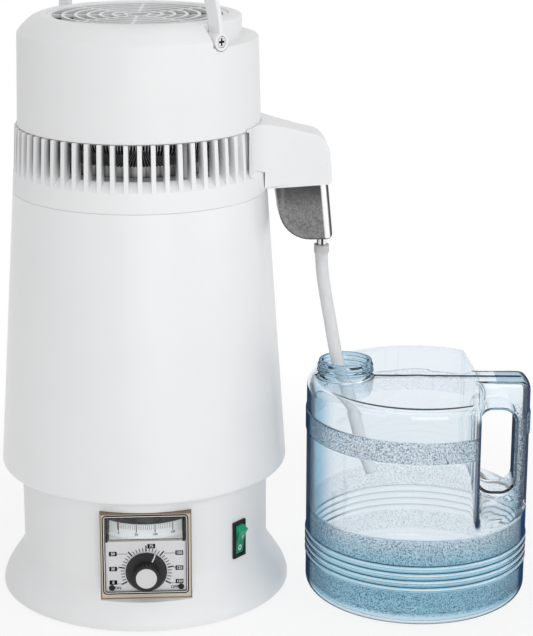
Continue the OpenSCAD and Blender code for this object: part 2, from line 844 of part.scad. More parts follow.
module louvre_ring() {
    pitch = 360 / slat_count;
    slope_top = slat_z + slope_rise;
    color("white") difference() {
        union() {
            rotate_extrude() polygon([
                [band_r, head_z], [slat_low_r, slat_z], [rim_r, slope_top], [floor_in_r, slope_top],
                [floor_in_r, floor_z], [slat_in_r, floor_z], [slat_low_r - band_wall, slat_z - 3],
                [band_r - band_wall, head_z]]);
            translate([0, 0, slat_top - over]) ring(rim_r, slat_in_r, rim_h + over);
            for (k = [0:slat_count - 1]) let (a = pitch * k)
                if (min(a, 360 - a) > spout_half_deg) rotate([0, 0, a]) slat();
        }
        translate([0, band_r + over, fan_inlet_z])
            panel_box(fan_plug[0] - 2.5, fan_plug[1] - 4.5, -12, 2 * over, 0);
    }
}

module fan_inlet() {
    color("black") translate([0, band_r, fan_inlet_z]) union() {
        socket_shell(fan_plug[0], fan_plug[1] - 2, 9, [fan_recess[0], fan_recess[1] - 2, 8], 2);
        for (s = [-1, 1]) rod_y(fan_pin_d, -7, 0.5, s * fan_pin_at, 0);
    }
}

function shoulder(inset) = [for (i = [0:shoulder_steps]) let (t = 1 - i / shoulder_steps)
    [guard_r + guard_lip + (cap_top_r - inset - guard_r - guard_lip) * t,
     shoulder_z + crown_h * (1 - pow(t, shoulder_bow)) - inset]];

module cap_form(inset) {
    rotate_extrude() polygon(concat([[0, cap_z - (inset > 0 ? over : 0)],
        [cap_low_r - inset, cap_z - (inset > 0 ? over : 0)]], shoulder(inset), [[0, crown_z - inset]]));
}

// The handle's recess round the crown, with a round pocket at each pivot
module handle_recess(grow) {
    first = handle_turn - recess_margin;
    sweep = 180 + 2 * recess_margin;
    half_extra = atan(grow / crown_r);
    rotate([0, 0, first - half_extra]) rotate_extrude(angle = sweep + 2 * half_extra)
        translate([crown_r - grow, ledge_z - grow]) square([30, 60]);
    at_pivots() translate([crown_r - grow, 0, pivot_z]) rotate([0, 90, 0])
        cylinder(r = pivot_r + pivot_room + grow, h = 30);
}

module top_cap() {
    seat_z = guard_z - guard_t;
    color("white") difference() {
        cap_form(0);
        handle_recess(0);
        difference() {
            cap_form(cap_wall);
            handle_recess(cap_wall);
            translate([0, 0, seat_z]) ring(guard_r + guard_lip, guard_r - guard_lip - over, crown_h);
        }
        translate([0, 0, seat_z - over]) cylinder(r = guard_r - guard_lip, h = crown_h);
        translate([0, 0, guard_z]) cylinder(r = guard_r + pin_gap, h = crown_h);
        at_pivots() translate([crown_r - 6, 0, pivot_z]) rotate([0, 90, 0]) cylinder(d = pivot_d, h = 10);
    }
}

module fan_guard() {
    step = (guard_r - guard_lip - guard_hub_r) / guard_rings;
    color("white") translate([0, 0, guard_z]) union() {
        ring(guard_r, guard_r - guard_lip - 1, guard_t);
        for (k = [0:guard_rings - 1]) let (r = guard_hub_r + step * k)
            ring(r + guard_bar / 2, r - guard_bar / 2, guard_t);
        for (k = [0:guard_spokes - 1]) rotate([0, 0, guard_turn + 360 * k / guard_spokes])
            translate([guard_hub_r, -guard_bar / 2, 0])
                cube([guard_r - guard_hub_r - guard_lip, guard_bar, guard_t - 0.6]);
    }
}

module carry_handle() {
    color("white") rotate([0, 0, handle_turn]) translate([0, 0, pivot_z]) difference() {
        union() {
            rotate([90, 0, 0]) translate([0, 0, -strap_t / 2]) rotate_extrude(angle = 180)
                translate([strap_in_r, 0]) square([strap_w, strap_t]);
            for (s = [0, 180]) rotate([0, 0, s]) translate([strap_in_r, 0, 0]) rotate([0, 90, 0])
                cylinder(r = pivot_r, h = strap_w);
        }
        for (s = [0, 180]) rotate([0, 0, s]) translate([strap_in_r - over, 0, 0]) rotate([0, 90, 0])
            union() {
                cylinder(d = pivot_d + 2 * pin_gap, h = strap_w + 2 * over);
                translate([0, 0, strap_w + over - 2.4]) cylinder(d = 2 * pivot_d + 1, h = 10);
            }
    }
}

module handle_screws() {
    head_at = strap_out_r - 2.2;
    color("silver") at_pivots() translate([0, 0, pivot_z]) rotate([0, 90, 0]) difference() {
        union() {
            translate([0, 0, crown_r - 5]) cylinder(d = pivot_d, h = head_at - crown_r + 5);
            translate([0, 0, head_at]) cylinder(d = 2 * pivot_d, h = 2);
        }
        for (a = [0, 90]) rotate([0, 0, a]) translate([-2.8, -0.5, head_at + 1]) cube([5.6, 1, 2]);
    }
}

// Steam path
module lid_seal() {
    color("snow") translate([0, 0, lid_z - seal_h]) ring(pot_rim_r - 1, pot_top_r + 1, seal_h);
}

module steam_lid() {
    flange_r = band_r - band_wall - 1;
    dome = [for (i = [0:8]) let (t = i / 8)
        [lid_r * (1 - t), lid_top + lid_dome * (1 - (1 - t) * (1 - t))]];
    inner_dome = [for (p = dome) [max(p[0] - lid_wall, 0), p[1] - lid_wall]];
    color("silver") difference() {
        rotate_extrude() polygon(concat([[flange_r, lid_z], [flange_r, lid_z + lid_flange_t],
            [lid_r, lid_z + lid_flange_t]], dome, [[0, lid_top + lid_dome - lid_wall]],
            flipped([for (i = [0:7]) inner_dome[i]]), [[lid_r - lid_wall, lid_z]]));
        rotate([0, 0, 180]) translate([riser_r, 0, lid_z])
            cylinder(d = tube_d - 2, h = lid_h + lid_dome + over);
    }
}

// The coil leaves the riser's block straight, winds down and meets the outlet's block straight
function coil_point(i) = let (a = 180 + 360 * i / loop_rings)
    [coil_r * cos(a), coil_r * sin(a), coil_end - coil_pitch * i / loop_rings];
coil_from = 2;
coil_run = -block / 2 - tube_d;
coil_path = concat(
    [[-coil_r, -block / 2, coil_end], [-coil_r, coil_run, coil_end]],
    [for (i = [coil_from:coil_steps - coil_from]) coil_point(i)],
    [[coil_r, coil_run, coil_low], [coil_r, -block / 2, coil_low]]);
coil_gap = min([for (i = [0:len(coil_path) - 1], j = [0:len(coil_path) - 1])
    if (j - i > loop_rings / 2) norm(coil_path[i] - coil_path[j])]) - tube_d;

module condenser_coil() {
    echo(coil_gap_to_itself = coil_gap);
    color("silver") solid_tube(coil_path, [for (p = coil_path) tube_d / 2], tube_sides);
}

module condenser_fins() {
    color("darkgray") for (i = [2:len(coil_path) - 4], k = [0:fins_per_ring - 1]) let (
        run = coil_path[i + 1] - coil_path[i],
        d = unit(run))
        translate(coil_path[i] + run * (k + 0.5) / fins_per_ring)
            rotate([0, acos(d[2]), atan2(d[1], d[0])]) difference() {
                cylinder(d = fin_d, h = fin_t, center = true, $fn = 32);
                cylinder(d = tube_d + 2 * run_gap, h = 2 * fin_t, center = true, $fn = 32);
            }
}

module steam_riser() {
    low = lid_top + lid_dome * (1 - pow(riser_r / lid_r, 2));
    color("silver") rotate([0, 0, 180]) union() {
        translate([riser_r, 0, low + seat_gap]) cylinder(d = tube_d, h = coil_end - low);
        translate([riser_r, 0, coil_end]) rotate([0, 90, 0]) cylinder(d = tube_d, h = coil_r - riser_r);
        translate([coil_r - block / 2, -block / 2, coil_end - block / 2]) cube([block, block, block]);
    }
}

module condensate_outlet() {
    drop_x = cup_left + 24;
    drop_z = cup_top_z + 6;
    leave_x = coil_r + block / 2;
    route = [[leave_x, 0, coil_low], [leave_x + tube_d, 0, coil_low], [drop_x - 11, 0, drop_z + 12],
        [drop_x - 3.5, 0, drop_z + 7], [drop_x, 0, drop_z], [drop_x, 0, drop_z - tube_d]];
    color("silver") union() {
        translate([coil_r - block / 2, -block / 2, coil_low - block / 2]) cube([block, block, block]);
        solid_tube(route, [for (p = route) tube_d / 2], 8);
    }
}

// Fan
module motor_pillars() {
    color("white") at_pillars() difference() {
        translate([0, 0, pillar_z]) cylinder(r = pillar_r, h = pillar_h);
        translate([0, 0, bracket_z - screw_len - 4]) cylinder(d = screw_d - 1 + pin_gap, h = screw_len + 8);
    }
}

module motor_bracket() {
    color("silver") translate([0, 0, bracket_z]) difference() {
        union() {
            cylinder(r = motor_r, h = bracket_t);
            for (k = [0:3]) rotate([0, 0, pillar_turn + 90 * k])
                translate([0, -arm_w / 2, 0]) cube([pillar_out + pillar_r, arm_w, bracket_t]);
        }
        translate([0, 0, -over]) cylinder(d = fan_shaft_d + 3, h = bracket_t + 2 * over);
        at_pillars() translate([0, 0, -over]) cylinder(d = screw_d + 0.4, h = bracket_t + 2 * over);
    }
}

module motor_screws() {
    color("silver") at_pillars() union() {
        translate([0, 0, bracket_z + bracket_t]) cylinder(d = screw_head_d - 1, h = screw_head_h);
        translate([0, 0, bracket_z - screw_len])
            cylinder(d = screw_d - 1, h = screw_len + bracket_t + over);
    }
}

module fan_motor() {
    color("dimgray") difference() {
        union() {
            translate([0, 0, bracket_z - motor_h]) cylinder(r = motor_r - 3, h = motor_h);
            translate([0, 0, bracket_z - motor_h + 8]) cylinder(r = motor_r, h = motor_h - 16);
        }
        translate([0, 0, bracket_z - motor_h + 4]) cylinder(d = fan_shaft_d + 2 * pin_gap, h = motor_h);
    }
}

module fan_blade() {
    low = bracket_z - motor_h + 5;
    color("whitesmoke") union() {
        difference() {
            translate([0, 0, hub_z]) cylinder(r = hub_r, h = hub_h);
            translate([0, 0, hub_z - over]) cylinder(r = hub_r - 2, h = hub_h - 2);
        }
        translate([0, 0, low]) cylinder(d = fan_shaft_d, h = hub_z + hub_h + 3 - low);
        for (k = [0:fan_blades - 1]) rotate([0, 0, 360 * k / fan_blades]) intersection() {
            translate([0, 0, hub_z]) ring(fan_r, hub_r - 1, hub_h);
            translate([0, 0, hub_z + hub_h / 2]) rotate([blade_pitch, 0, 0])
                translate([0, -hub_h, -blade_t / 2]) cube([fan_r, 2 * hub_h, blade_t]);
        }
    }
}

module fan_nut() {
    color("silver") translate([0, 0, hub_z + hub_h]) difference() {
        cylinder(d = 9, h = 4, $fn = 6);
        translate([0, 0, -over]) cylinder(d = fan_shaft_d + 2 * pin_gap, h = 4 + 2 * over);
    }
}

// Spout and cup
function spout_outline(inset, from) = concat(
    [[from, spout_low - inset], [spout_in, spout_low - inset],
     [spout_reach - inset, spout_low + spout_lift - inset],
     [spout_reach - 2 - inset, spout_knee[1] - knee_r]],
    arc(spout_knee[0], spout_knee[1] - knee_r, knee_r - inset, 10, 80, 6),
    [[spout_in, spout_top - inset], [from, spout_top - inset]]);

module spout_slab(inset, half, from) {
    translate([0, half, 0]) rotate([90, 0, 0]) linear_extrude(2 * half) polygon(spout_outline(inset, from));
}

module spout_form(inset) {
    hull() for (i = [0:3]) let (a = 30 * i) spout_slab(inset + spout_round * (1 - cos(a)),
        spout_w / 2 - inset - spout_round * (1 - sin(a)), spout_in - over);
}

// Half of the flared root, seen from above: a hollow curve from the spout's side to the louvres
function flare_half(inset) = concat(
    arc(flare_tip, spout_w / 2 + flare_r, flare_r + inset, 270, flare_from, 10),
    [inset > 0 ? [flare_x - 8, flare_y + 1] : [flare_x - 4, flare_y - 1.2]]);

module spout_flare(inset) {
    half = flare_half(inset);
    intersection() {
        translate([0, 0, spout_low + 2 * inset]) linear_extrude(spout_top - spout_low)
            polygon(concat(half, [for (p = flipped(half)) [p[0], -p[1]]]));
        spout_slab(inset, 2 * spout_w, flare_x - 10);
    }
}

module spout_housing() {
    cut_h = 30;
    color("white") difference() {
        union() {
            spout_form(0);
            spout_flare(0);
        }
        spout_form(spout_wall);
        spout_flare(spout_wall);
        translate([spout_in - over, -cup_half - slide_gap, spout_low - over])
            cube([cup_right - spout_wall - spout_in - 1.5, 2 * (cup_half + slide_gap), 8]);
        translate([0, 0, slat_z + seat_gap - cut_h]) cylinder(r = band_r + run_gap, h = cut_h);
        translate([0, 0, slat_z + seat_gap - pin_gap])
            cylinder(r1 = slat_low_r + run_gap, r2 = rim_r + run_gap, h = slope_rise + pin_gap);
        translate([0, 0, cap_z - seat_gap]) cylinder(r = cap_low_r + run_gap, h = cut_h);
        translate([0, 0, slat_z]) cylinder(r = rim_r + run_gap, h = slat_h + cut_h);
    }
}

function cup_outline(inset) = concat(
    [[cup_left - cup_slant + inset, cup_top_z]],
    arc(cup_left + cup_bow, cup_low_z + cup_bow, cup_bow - inset, 180, 270, 10),
    arc(cup_right - cup_corner, cup_low_z + cup_corner, cup_corner - inset, 270, 360, 4),
    [[cup_right - cup_lean - inset, cup_top_z]]);

module cup_form(inset) {
    lean = atan(cup_lean / (cup_top_z - cup_low_z - cup_corner));
    half = cup_half - inset;
    reach = 2 * (cup_right - cup_left);
    intersection() {
        translate([0, half, 0]) rotate([90, 0, 0]) linear_extrude(2 * half) polygon(cup_outline(inset));
        translate([cup_right - inset, 0, cup_low_z + cup_corner]) rotate([0, -lean, 0])
            translate([-reach / 2, 0, -reach / 2])
                rounded_plate(reach, 2 * half, cup_round - inset, 2 * reach);
    }
}

module spout_cup() {
    color("silver") difference() {
        cup_form(0);
        cup_form(cup_wall);
        translate([cup_left - cup_bow, -spout_w, cup_top_z - 0.4])
            cube([cup_right - cup_left + 2 * cup_bow, 2 * spout_w, 10]);
        translate([nipple_x, 0, cup_low_z - over]) cylinder(d = nipple_d - 1.6, h = 6);
    }
}

module hose_nipple() {
    color("silver") translate([nipple_x, 0, cup_low_z - nipple_len]) difference() {
        cylinder(d = nipple_d, h = nipple_len);
        translate([0, 0, -over]) cylinder(d = nipple_d - 1.6, h = nipple_len + 2 * over);
    }
}

module outlet_hose() {
    radii = [for (i = [0:len(hose_route) - 1]) (i < 2 ? hose_end_d : hose_d) / 2];
    color("ghostwhite", 0.7) hollow_tube(hose_route, radii, hose_wall, hose_sides);
}

// Jug
function rib_points(k) = let (z = rib_low + rib_pitch * k)
    [[jug_r, z], [jug_r + rib_out, z + 1], [jug_r + rib_out, z + 2.6], [jug_r, z + 3.6]];
function jug_outline(inset) = concat(
    [[0, inset]],
    arc(jug_r - jug_corner, jug_corner, jug_corner - inset, -90, 0, 6),
    inset > 0 ? [] : [for (k = [0:rib_count - 1]) each rib_points(k)],
    inset > 0 ? [] : [[jug_r, band_low], [jug_r + band_out, band_low + 1],
        [jug_r + band_out, band_high - 1], [jug_r, band_high]],
    arc(jug_r - jug_shoulder, jug_h - jug_shoulder, jug_shoulder - inset, 0, 90, 6),
    [[0, jug_h - inset]]);

// The two hollows beside the grip
module jug_pockets(grow) {
    half = grip_t / 2 - grow;
    for (s = [-1, 1]) mirror([0, s < 0 ? 1 : 0, 0]) translate([0, 0, pocket_z - grow])
        linear_extrude(jug_h) polygon([[pocket_in - grow, half], [pocket_out - grow, jug_r + 10],
            [jug_r + 20, jug_r + 10], [jug_r + 20, half]]);
}

module finger_hole(grow) {
    w = finger_w + 2 * grow;
    h = finger_h + 2 * grow;
    translate([finger_x, 50, finger_low + finger_h / 2]) rotate([90, 0, 0])
        rounded_plate(w, h, finger_round + grow, 100);
}

module jug_form(inset) {
    difference() {
        rotate_extrude() polygon(jug_outline(inset));
        jug_pockets(inset);
        finger_hole(inset);
    }
}

module jug_body() {
    color("lightskyblue", 0.5) translate(jug_at) difference() {
        union() {
            jug_form(0);
            translate([-neck_out, 0, jug_h - 1]) cylinder(r = neck_r, h = neck_h + 1);
            for (k = [0, 1]) translate([-neck_out, 0, jug_h + 4 + 5 * k]) rotate_extrude()
                translate([neck_r - 0.2, 0]) circle(r = thread_r, $fn = 24);
        }
        jug_form(jug_wall);
        translate([-neck_out, 0, jug_h - jug_wall - over])
            cylinder(r = neck_r - neck_wall, h = neck_h + jug_wall + 2 * over);
    }
}

foot_ring();
base_shell();
bottom_plate();
plate_screws();
mains_inlet();
fan_outlet();
reset_collar();
controller_bezel();
controller_case();
dial_plate();
meter_scale();
meter_movement();
meter_window();
lamp_lenses();
dial_potentiometer();
switch_body();
boiler_shell();
boiler_pot();
heating_plate();
thermal_cutout();
heater_studs();
control_knob();
knob_cap();
knob_shaft();
switch_rocker();
meter_needle();
reset_button();
louvre_ring();
spout_housing();
top_cap();
fan_guard();
steam_lid();
lid_seal();
steam_riser();
condenser_coil();
condenser_fins();
condensate_outlet();
fan_motor();
motor_bracket();
motor_screws();
motor_pillars();
fan_inlet();
handle_screws();
fan_blade();
fan_nut();
carry_handle();
spout_cup();
hose_nipple();
outlet_hose();
jug_body();
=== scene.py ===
# Looks of the countertop water distiller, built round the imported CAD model
from math import cos, pi, radians, sin, sqrt

import bmesh
import bpy
from mathutils import Matrix, Vector


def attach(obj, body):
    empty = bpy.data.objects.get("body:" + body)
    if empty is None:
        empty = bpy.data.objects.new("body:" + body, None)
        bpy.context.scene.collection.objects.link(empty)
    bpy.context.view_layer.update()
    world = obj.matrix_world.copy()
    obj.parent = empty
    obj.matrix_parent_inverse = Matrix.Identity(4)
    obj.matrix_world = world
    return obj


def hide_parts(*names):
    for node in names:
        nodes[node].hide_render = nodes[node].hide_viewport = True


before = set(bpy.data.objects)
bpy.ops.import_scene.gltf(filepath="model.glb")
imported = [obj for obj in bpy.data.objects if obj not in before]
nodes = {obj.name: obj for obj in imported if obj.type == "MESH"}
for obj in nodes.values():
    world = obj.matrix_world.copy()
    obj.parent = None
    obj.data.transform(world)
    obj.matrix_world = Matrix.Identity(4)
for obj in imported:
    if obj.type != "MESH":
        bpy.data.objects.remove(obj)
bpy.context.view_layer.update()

MM = 0.001
scene = bpy.context.scene

# Height of the middle of the control panel, in millimetres
PANEL_MID = 57.5


# Mesh helpers

def even_steps(first, step, count):
    """Numbers from first on, step apart."""
    return [first + step * k for k in range(count)]


def smooth_step(t):
    t = min(1.0, max(0.0, t))
    return t * t * (3 - 2 * t)


def placed(name, data):
    """A new object in the scene."""
    obj = bpy.data.objects.new(name, data)
    scene.collection.objects.link(obj)
    return obj


def new_piece(name, bm, finish=None, smooth=True):
    """A mesh object from bm, in the row frame, with one finish."""
    bmesh.ops.recalc_face_normals(bm, faces=bm.faces)
    for face in bm.faces:
        face.smooth = smooth
    mesh = bpy.data.meshes.new(name)
    bm.to_mesh(mesh)
    bm.free()
    if finish:
        mesh.materials.append(finish)
    return placed(name, mesh)


def baked(obj):
    """A new mesh of what obj's modifiers or its text make."""
    bpy.context.view_layer.update()
    return bpy.data.meshes.new_from_object(obj.evaluated_get(bpy.context.evaluated_depsgraph_get()))


def ring_of(bm, points):
    """Vertices at points given in millimetres."""
    return [bm.verts.new(Vector(p) * MM) for p in points]


def join_rings(bm, rings, closed=False):
    """Quads between rings of the same number of vertices; closed joins the last ring to the first."""
    count = len(rings[0])
    pairs = list(zip(rings, rings[1:]))
    if closed:
        pairs.append((rings[-1], rings[0]))
    for low, high in pairs:
        for k in range(count):
            j = (k + 1) % count
            bm.faces.new((low[k], low[j], high[j], high[k]))


def cap_rings(bm, rings):
    """Quads between the rings and a face over each end."""
    join_rings(bm, rings)
    bm.faces.new(rings[0])
    bm.faces.new(rings[-1][::-1])


def full_turn(count):
    """Even steps round a full turn."""
    return [2 * pi * k / count for k in range(count)]


def swept_rings(bm, profile, turns):
    """A ring of vertices for each turn about the main axis, from a profile of (r, z) in millimetres."""
    return [ring_of(bm, [(r * cos(a), r * sin(a), z) for r, z in profile]) for a in turns]


def spline(points, steps):
    """A smooth line through points, with steps parts between neighbours."""
    line = []
    last = len(points) - 1
    for i in range(last):
        a, b = points[i], points[i + 1]
        before = points[i - 1] if i else a * 2 - b
        after = points[i + 2] if i + 2 <= last else b * 2 - a
        for k in range(steps):
            t = k / steps
            line.append(0.5 * ((2 * a) + (b - before) * t + (2 * before - 5 * a + 4 * b - after) * t ** 2
                               + (3 * a - before - 3 * b + after) * t ** 3))
    return line + [points[-1]]


def line_length(line):
    return sum((b - a).length for a, b in zip(line, line[1:]))


# Camera, fitted to the photograph's frame of 533 by 636
IMAGE_H = 636
FOCAL_PX = 1950.0
CAMERA_AT = (4, -1530, 668)
CAMERA_PAN = radians(3.23)
CAMERA_TILT = radians(16.12)
AXIS_SHIFT_PX = (13.4, -3.3)
SENSOR_MM = 36.0


def place_camera():
    level = cos(CAMERA_TILT)
    ahead = Vector((sin(CAMERA_PAN) * level, cos(CAMERA_PAN) * level, -sin(CAMERA_TILT)))
    right = Vector((cos(CAMERA_PAN), -sin(CAMERA_PAN), 0))
    up = right.cross(ahead)
    data = bpy.data.cameras.new("photo_camera")
    data.sensor_fit = "VERTICAL"
    data.sensor_height = SENSOR_MM
    data.lens = SENSOR_MM * FOCAL_PX / IMAGE_H
    data.shift_x = AXIS_SHIFT_PX[0] / IMAGE_H
    data.shift_y = AXIS_SHIFT_PX[1] / IMAGE_H
    data.clip_start = 0.05
    camera = placed("photo_camera", data)
    turn = Matrix((right, up, -ahead)).transposed().to_4x4()
    camera.matrix_world = Matrix.Translation(Vector(CAMERA_AT) * MM) @ turn
    scene.camera = camera


place_camera()


# Hose: the route of the CAD solid, from the nipple down into the jug
HOSE_ROUTE = [Vector(p) * MM for p in (
    (146, 0, 284), (146, 0, 272), (146.8, -2.5, 260), (148.2, -7.5, 248), (150, -13.5, 236),
    (152, -20, 223), (154, -25.5, 210), (156.4, -29.5, 197), (159.6, -32, 184), (163.8, -33.5, 171),
    (168.2, -34, 158), (172, -34, 145), (175.4, -34, 132), (179, -34, 119), (182.4, -34, 109),
    (186, -34, 100))]
HOSE_R = 5.1 * MM
HOSE_END_R = 6.1 * MM
HOSE_WALL = 1.4 * MM
HOSE_SLEEVE = 6 * MM
HOSE_TAPER = 3 * MM
HOSE_SIDES = 32
HOSE_STEPS = 6


def make_hose():
    """A tube along the route, its rings carried along without twist; it widens over the nipple."""
    line = spline(HOSE_ROUTE, HOSE_STEPS)
    bm = bmesh.new()
    outer, inner = [], []
    gone = 0.0
    side = None
    for point, before, after in zip(line, line[:1] + line, line[1:] + line[-1:]):
        gone += (point - before).length
        heading = (after - before).normalized()
        if side is None:
            side = heading.orthogonal().normalized()
        side = (side - heading * side.dot(heading)).normalized()
        other = heading.cross(side)
        on_nipple = 1 - smooth_step((gone - HOSE_SLEEVE) / HOSE_TAPER)
        radius = HOSE_R + (HOSE_END_R - HOSE_R) * on_nipple
        for ring, r in ((outer, radius), (inner, radius - HOSE_WALL)):
            ring.append([bm.verts.new(point + r * (cos(a) * side + sin(a) * other))
                         for a in full_turn(HOSE_SIDES)])
    join_rings(bm, outer + inner[::-1], closed=True)
    return new_piece("hose", bm), line


hose, hose_line = make_hose()
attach(hose, "cup")
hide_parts("outlet_hose")
line_length(hose_line)


# Finishes: arithmetic on a Value adds Math nodes to its material

class Value:
    """One output socket of a finish."""

    def __init__(self, finish, socket):
        self.finish = finish
        self.socket = socket

    def math(self, operation, *others, swap=False):
        terms = [self, *others]
        if swap:
            terms.reverse()
        return self.finish.node("Math", dict(enumerate(terms)), operation=operation)

    def __add__(self, other): return self.math("ADD", other)
    def __sub__(self, other): return self.math("SUBTRACT", other)
    def __rsub__(self, other): return self.math("SUBTRACT", other, swap=True)
    def __mul__(self, other): return self.math("MULTIPLY", other)
    def __pow__(self, other): return self.math("POWER", other)
    def __gt__(self, other): return self.math("GREATER_THAN", other)
    def __lt__(self, other): return self.math("LESS_THAN", other)
    def __abs__(self): return self.math("ABSOLUTE")
    __radd__, __rmul__ = __add__, __mul__

    def least(self, other): return self.math("MINIMUM", other)
    def most(self, other): return self.math("MAXIMUM", other)

    def rise(self, low, high):
        """0 below low, 1 above high, and smooth between."""
        return self.finish.node("MapRange", {"Value": self, "From Min": low, "From Max": high},
                                interpolation_type="SMOOTHSTEP")

    def within(self, low, high, soft):
        """1 between low and high, with soft edges."""
        return self.rise(low - soft, low + soft) * (1 - self.rise(high - soft, high + soft))

    # The same for places, with the limits in millimetres
    def rise_mm(self, low, high):
        return self.rise(low * MM, high * MM)

    def within_mm(self, low, high, soft):
        return self.within(low * MM, high * MM, soft * MM)


class Finish:
    """One material, or the world, built node by node."""

    def __init__(self, name, library=bpy.data.materials, output="OutputMaterial"):
        self.made = library.new(name)
        self.made.use_nodes = True
        self.tree = self.made.node_tree
        self.tree.nodes.clear()
        self.end = self.tree.nodes.new("ShaderNode" + output)

    def node(self, kind, sockets=None, output=0, **settings):
        """One output of a new node, with numbers, colours or other Values on its inputs."""
        made = self.tree.nodes.new("ShaderNode" + kind)
        for key, value in settings.items():
            setattr(made, key, value)
        for key, value in (sockets or {}).items():
            socket = made.inputs[key]
            if isinstance(value, Value):
                self.tree.links.new(value.socket, socket)
            else:
                socket.default_value = (*value, 1) if socket.type == "RGBA" else value
        return Value(self, made.outputs[output])

    def place(self):
        return self.node("TexCoord", output="Object")

    def parts(self):
        """x, y and z of the row frame's place."""
        split = self.node("SeparateXYZ", {0: self.place()})
        return [Value(self, out) for out in split.socket.node.outputs]

    def stretched(self, x, y, z):
        """The row frame's place, scaled by x, y and z for grain that runs one way."""
        return self.node("VectorMath", {0: self.place(), 1: (x, y, z)}, operation="MULTIPLY")

    def noise(self, size, detail=3.0, vector=None, rough=0.55):
        """Cloudy values from 0 to 1 with features of about size millimetres."""
        return self.node("TexNoise", {"Vector": vector or self.place(), "Scale": 1 / (size * MM),
                                      "Detail": detail, "Roughness": rough})

    def cells(self, size):
        """Distance to the nearest of many points that are about size millimetres apart."""
        return self.node("TexVoronoi", {"Vector": self.place(), "Scale": 1 / (size * MM)})

    def blend(self, share, low, high):
        """A colour from low at share 0 to high at share 1."""
        return self.node("Mix", {0: share, 6: low, 7: high}, 2, data_type="RGBA")

    def bump(self, height, depth, strength):
        """Relief of depth millimetres in the shading alone."""
        return self.node("Bump", {"Height": height, "Distance": depth * MM, "Strength": strength})

    def shader(self, **sockets):
        named = {key.replace("_", " ").title().replace("Ior", "IOR"): value for key, value in sockets.items()}
        return self.node("BsdfPrincipled", named)

    def mixed(self, share, low, high):
        return self.node("MixShader", {0: share, 1: low, 2: high})

    def done(self, surface, volume=None):
        self.tree.links.new(surface.socket, self.end.inputs["Surface"])
        if volume:
            self.tree.links.new(volume.socket, self.end.inputs["Volume"])
        return self.made

    def plain(self, colour, roughness, relief, depth, strength, **others):
        """The whole material of one shader with a relief of depth millimetres."""
        return self.done(self.shader(base_color=colour, roughness=roughness,
                                     normal=self.bump(relief, depth, strength), **others))


def grey(level):
    return (level, level, level)


def white_moulding(name, cloud=45, dark=(0.80, 0.805, 0.815), light=(0.86, 0.862, 0.868), shade=None):
    """White plastic; shade gives how far it darkens at each place, and the colour there."""
    f = Finish(name)
    grain = f.noise(0.9, 2)
    colour = f.blend(f.noise(cloud) * 0.7 + grain * 0.3, dark, light)
    if shade:
        share, deep = shade(f)
        colour = f.blend(share, colour, deep)
    return f.plain(colour, 0.36 + 0.16 * f.noise(6), grain, 0.02, 0.6, ior=1.46)


def painted_shade_in_slots(f):
    """Painted shade that greys the louvres towards the inside of their slots, less towards the right."""
    x, y, z = f.parts()
    front = 100.5 * MM - (z - 349.5 * MM) * (2 / 36)
    inside = (front - (x * x + y * y) ** 0.5).rise_mm(0.8, 6.5)
    # Painted shade, deeper inside the slots and lighter towards the right
    painted_slot_shade = inside * z.rise_mm(352, 374) * (1 - 0.55 * x.rise_mm(30, 75))
    return painted_slot_shade * (0.78 + 0.2 * f.noise(3)), (0.06, 0.06, 0.065)


def shadow_in_cap(f):
    """Shadow on the inside of the cap; the recess round the fan guard stays light."""
    x, y, z = f.parts()
    reach = 90.5 * MM - 11.5 * MM * (z > 452.5 * MM)
    inside = (z < 469.5 * MM) * ((x * x + y * y) ** 0.5 < reach)
    return inside * 0.95, (0.04, 0.04, 0.042)


def white_enamel():
    f = Finish("white_enamel")
    colour = f.blend(f.noise(60), (0.815, 0.82, 0.83), (0.865, 0.868, 0.875))
    return f.plain(colour, 0.3 + 0.12 * f.noise(9), f.noise(3.2, 1), 0.03, 0.5, ior=1.5,
                   coat_weight=0.25, coat_roughness=0.2)


def brushed_metal(name, dark, light, roughness, run=(1, 1, 1)):
    """Metal with fine lines; run holds the stretch of the grain along x, y and z."""
    f = Finish(name)
    lines = f.noise(0.5, 2, f.stretched(*run))
    colour = f.blend(lines * 0.6 + f.noise(7, 4) * 0.4, dark, light)
    return f.plain(colour, roughness + 0.18 * lines, lines, 0.012, 0.5, metallic=1.0)


def grained_plastic(name, dark, light, roughness, size=0.7, gloss=0.5, glow=0.0):
    """Moulded plastic with a fine grain; gloss is its specular level and glow a painted glow in its own
    colour.
    """
    f = Finish(name)
    grain = f.noise(size)
    colour = f.blend(f.noise(9) * 0.6 + grain * 0.4, dark, light)
    return f.plain(colour, roughness + 0.15 * f.noise(4), grain, 0.03, 0.6, specular_ior_level=gloss,
                   emission_color=colour, emission_strength=glow)


def dial_silver():
    """Silk-screened aluminium: fine even grain under a satin lacquer."""
    f = Finish("dial_silver")
    grain = f.noise(0.22, 2)
    sweep = f.noise(18, 2, f.stretched(1, 1, 0.5))
    colour = f.blend(sweep * 0.5 + grain * 0.5, (0.58, 0.58, 0.595), (0.76, 0.76, 0.775))
    return f.plain(colour, 0.4 + 0.15 * grain, grain, 0.01, 0.5, metallic=0.25)


def clear_window():
    f = Finish("clear_window")
    ripple = f.bump(f.noise(14, 1), 0.05, 0.3)
    gloss = f.node("BsdfGlossy", {"Color": grey(0.9), "Roughness": 0.06, "Normal": ripple})
    through = f.node("BsdfTransparent", {"Color": (0.93, 0.95, 0.95)})
    fresnel = f.node("Fresnel", {"IOR": 1.45})
    smears = f.noise(9).rise(0.45, 0.75)
    return f.done(f.mixed(0.9 * fresnel + 0.03 * smears, through, gloss))


def lamp_lens():
    f = Finish("lamp_lens")
    cells = f.cells(0.8)
    colour = f.blend(cells, (0.006, 0.008, 0.007), (0.020, 0.030, 0.026))
    return f.plain(colour, 0.25 + 0.1 * cells, cells, 0.08, 0.5, specular_ior_level=0.2)


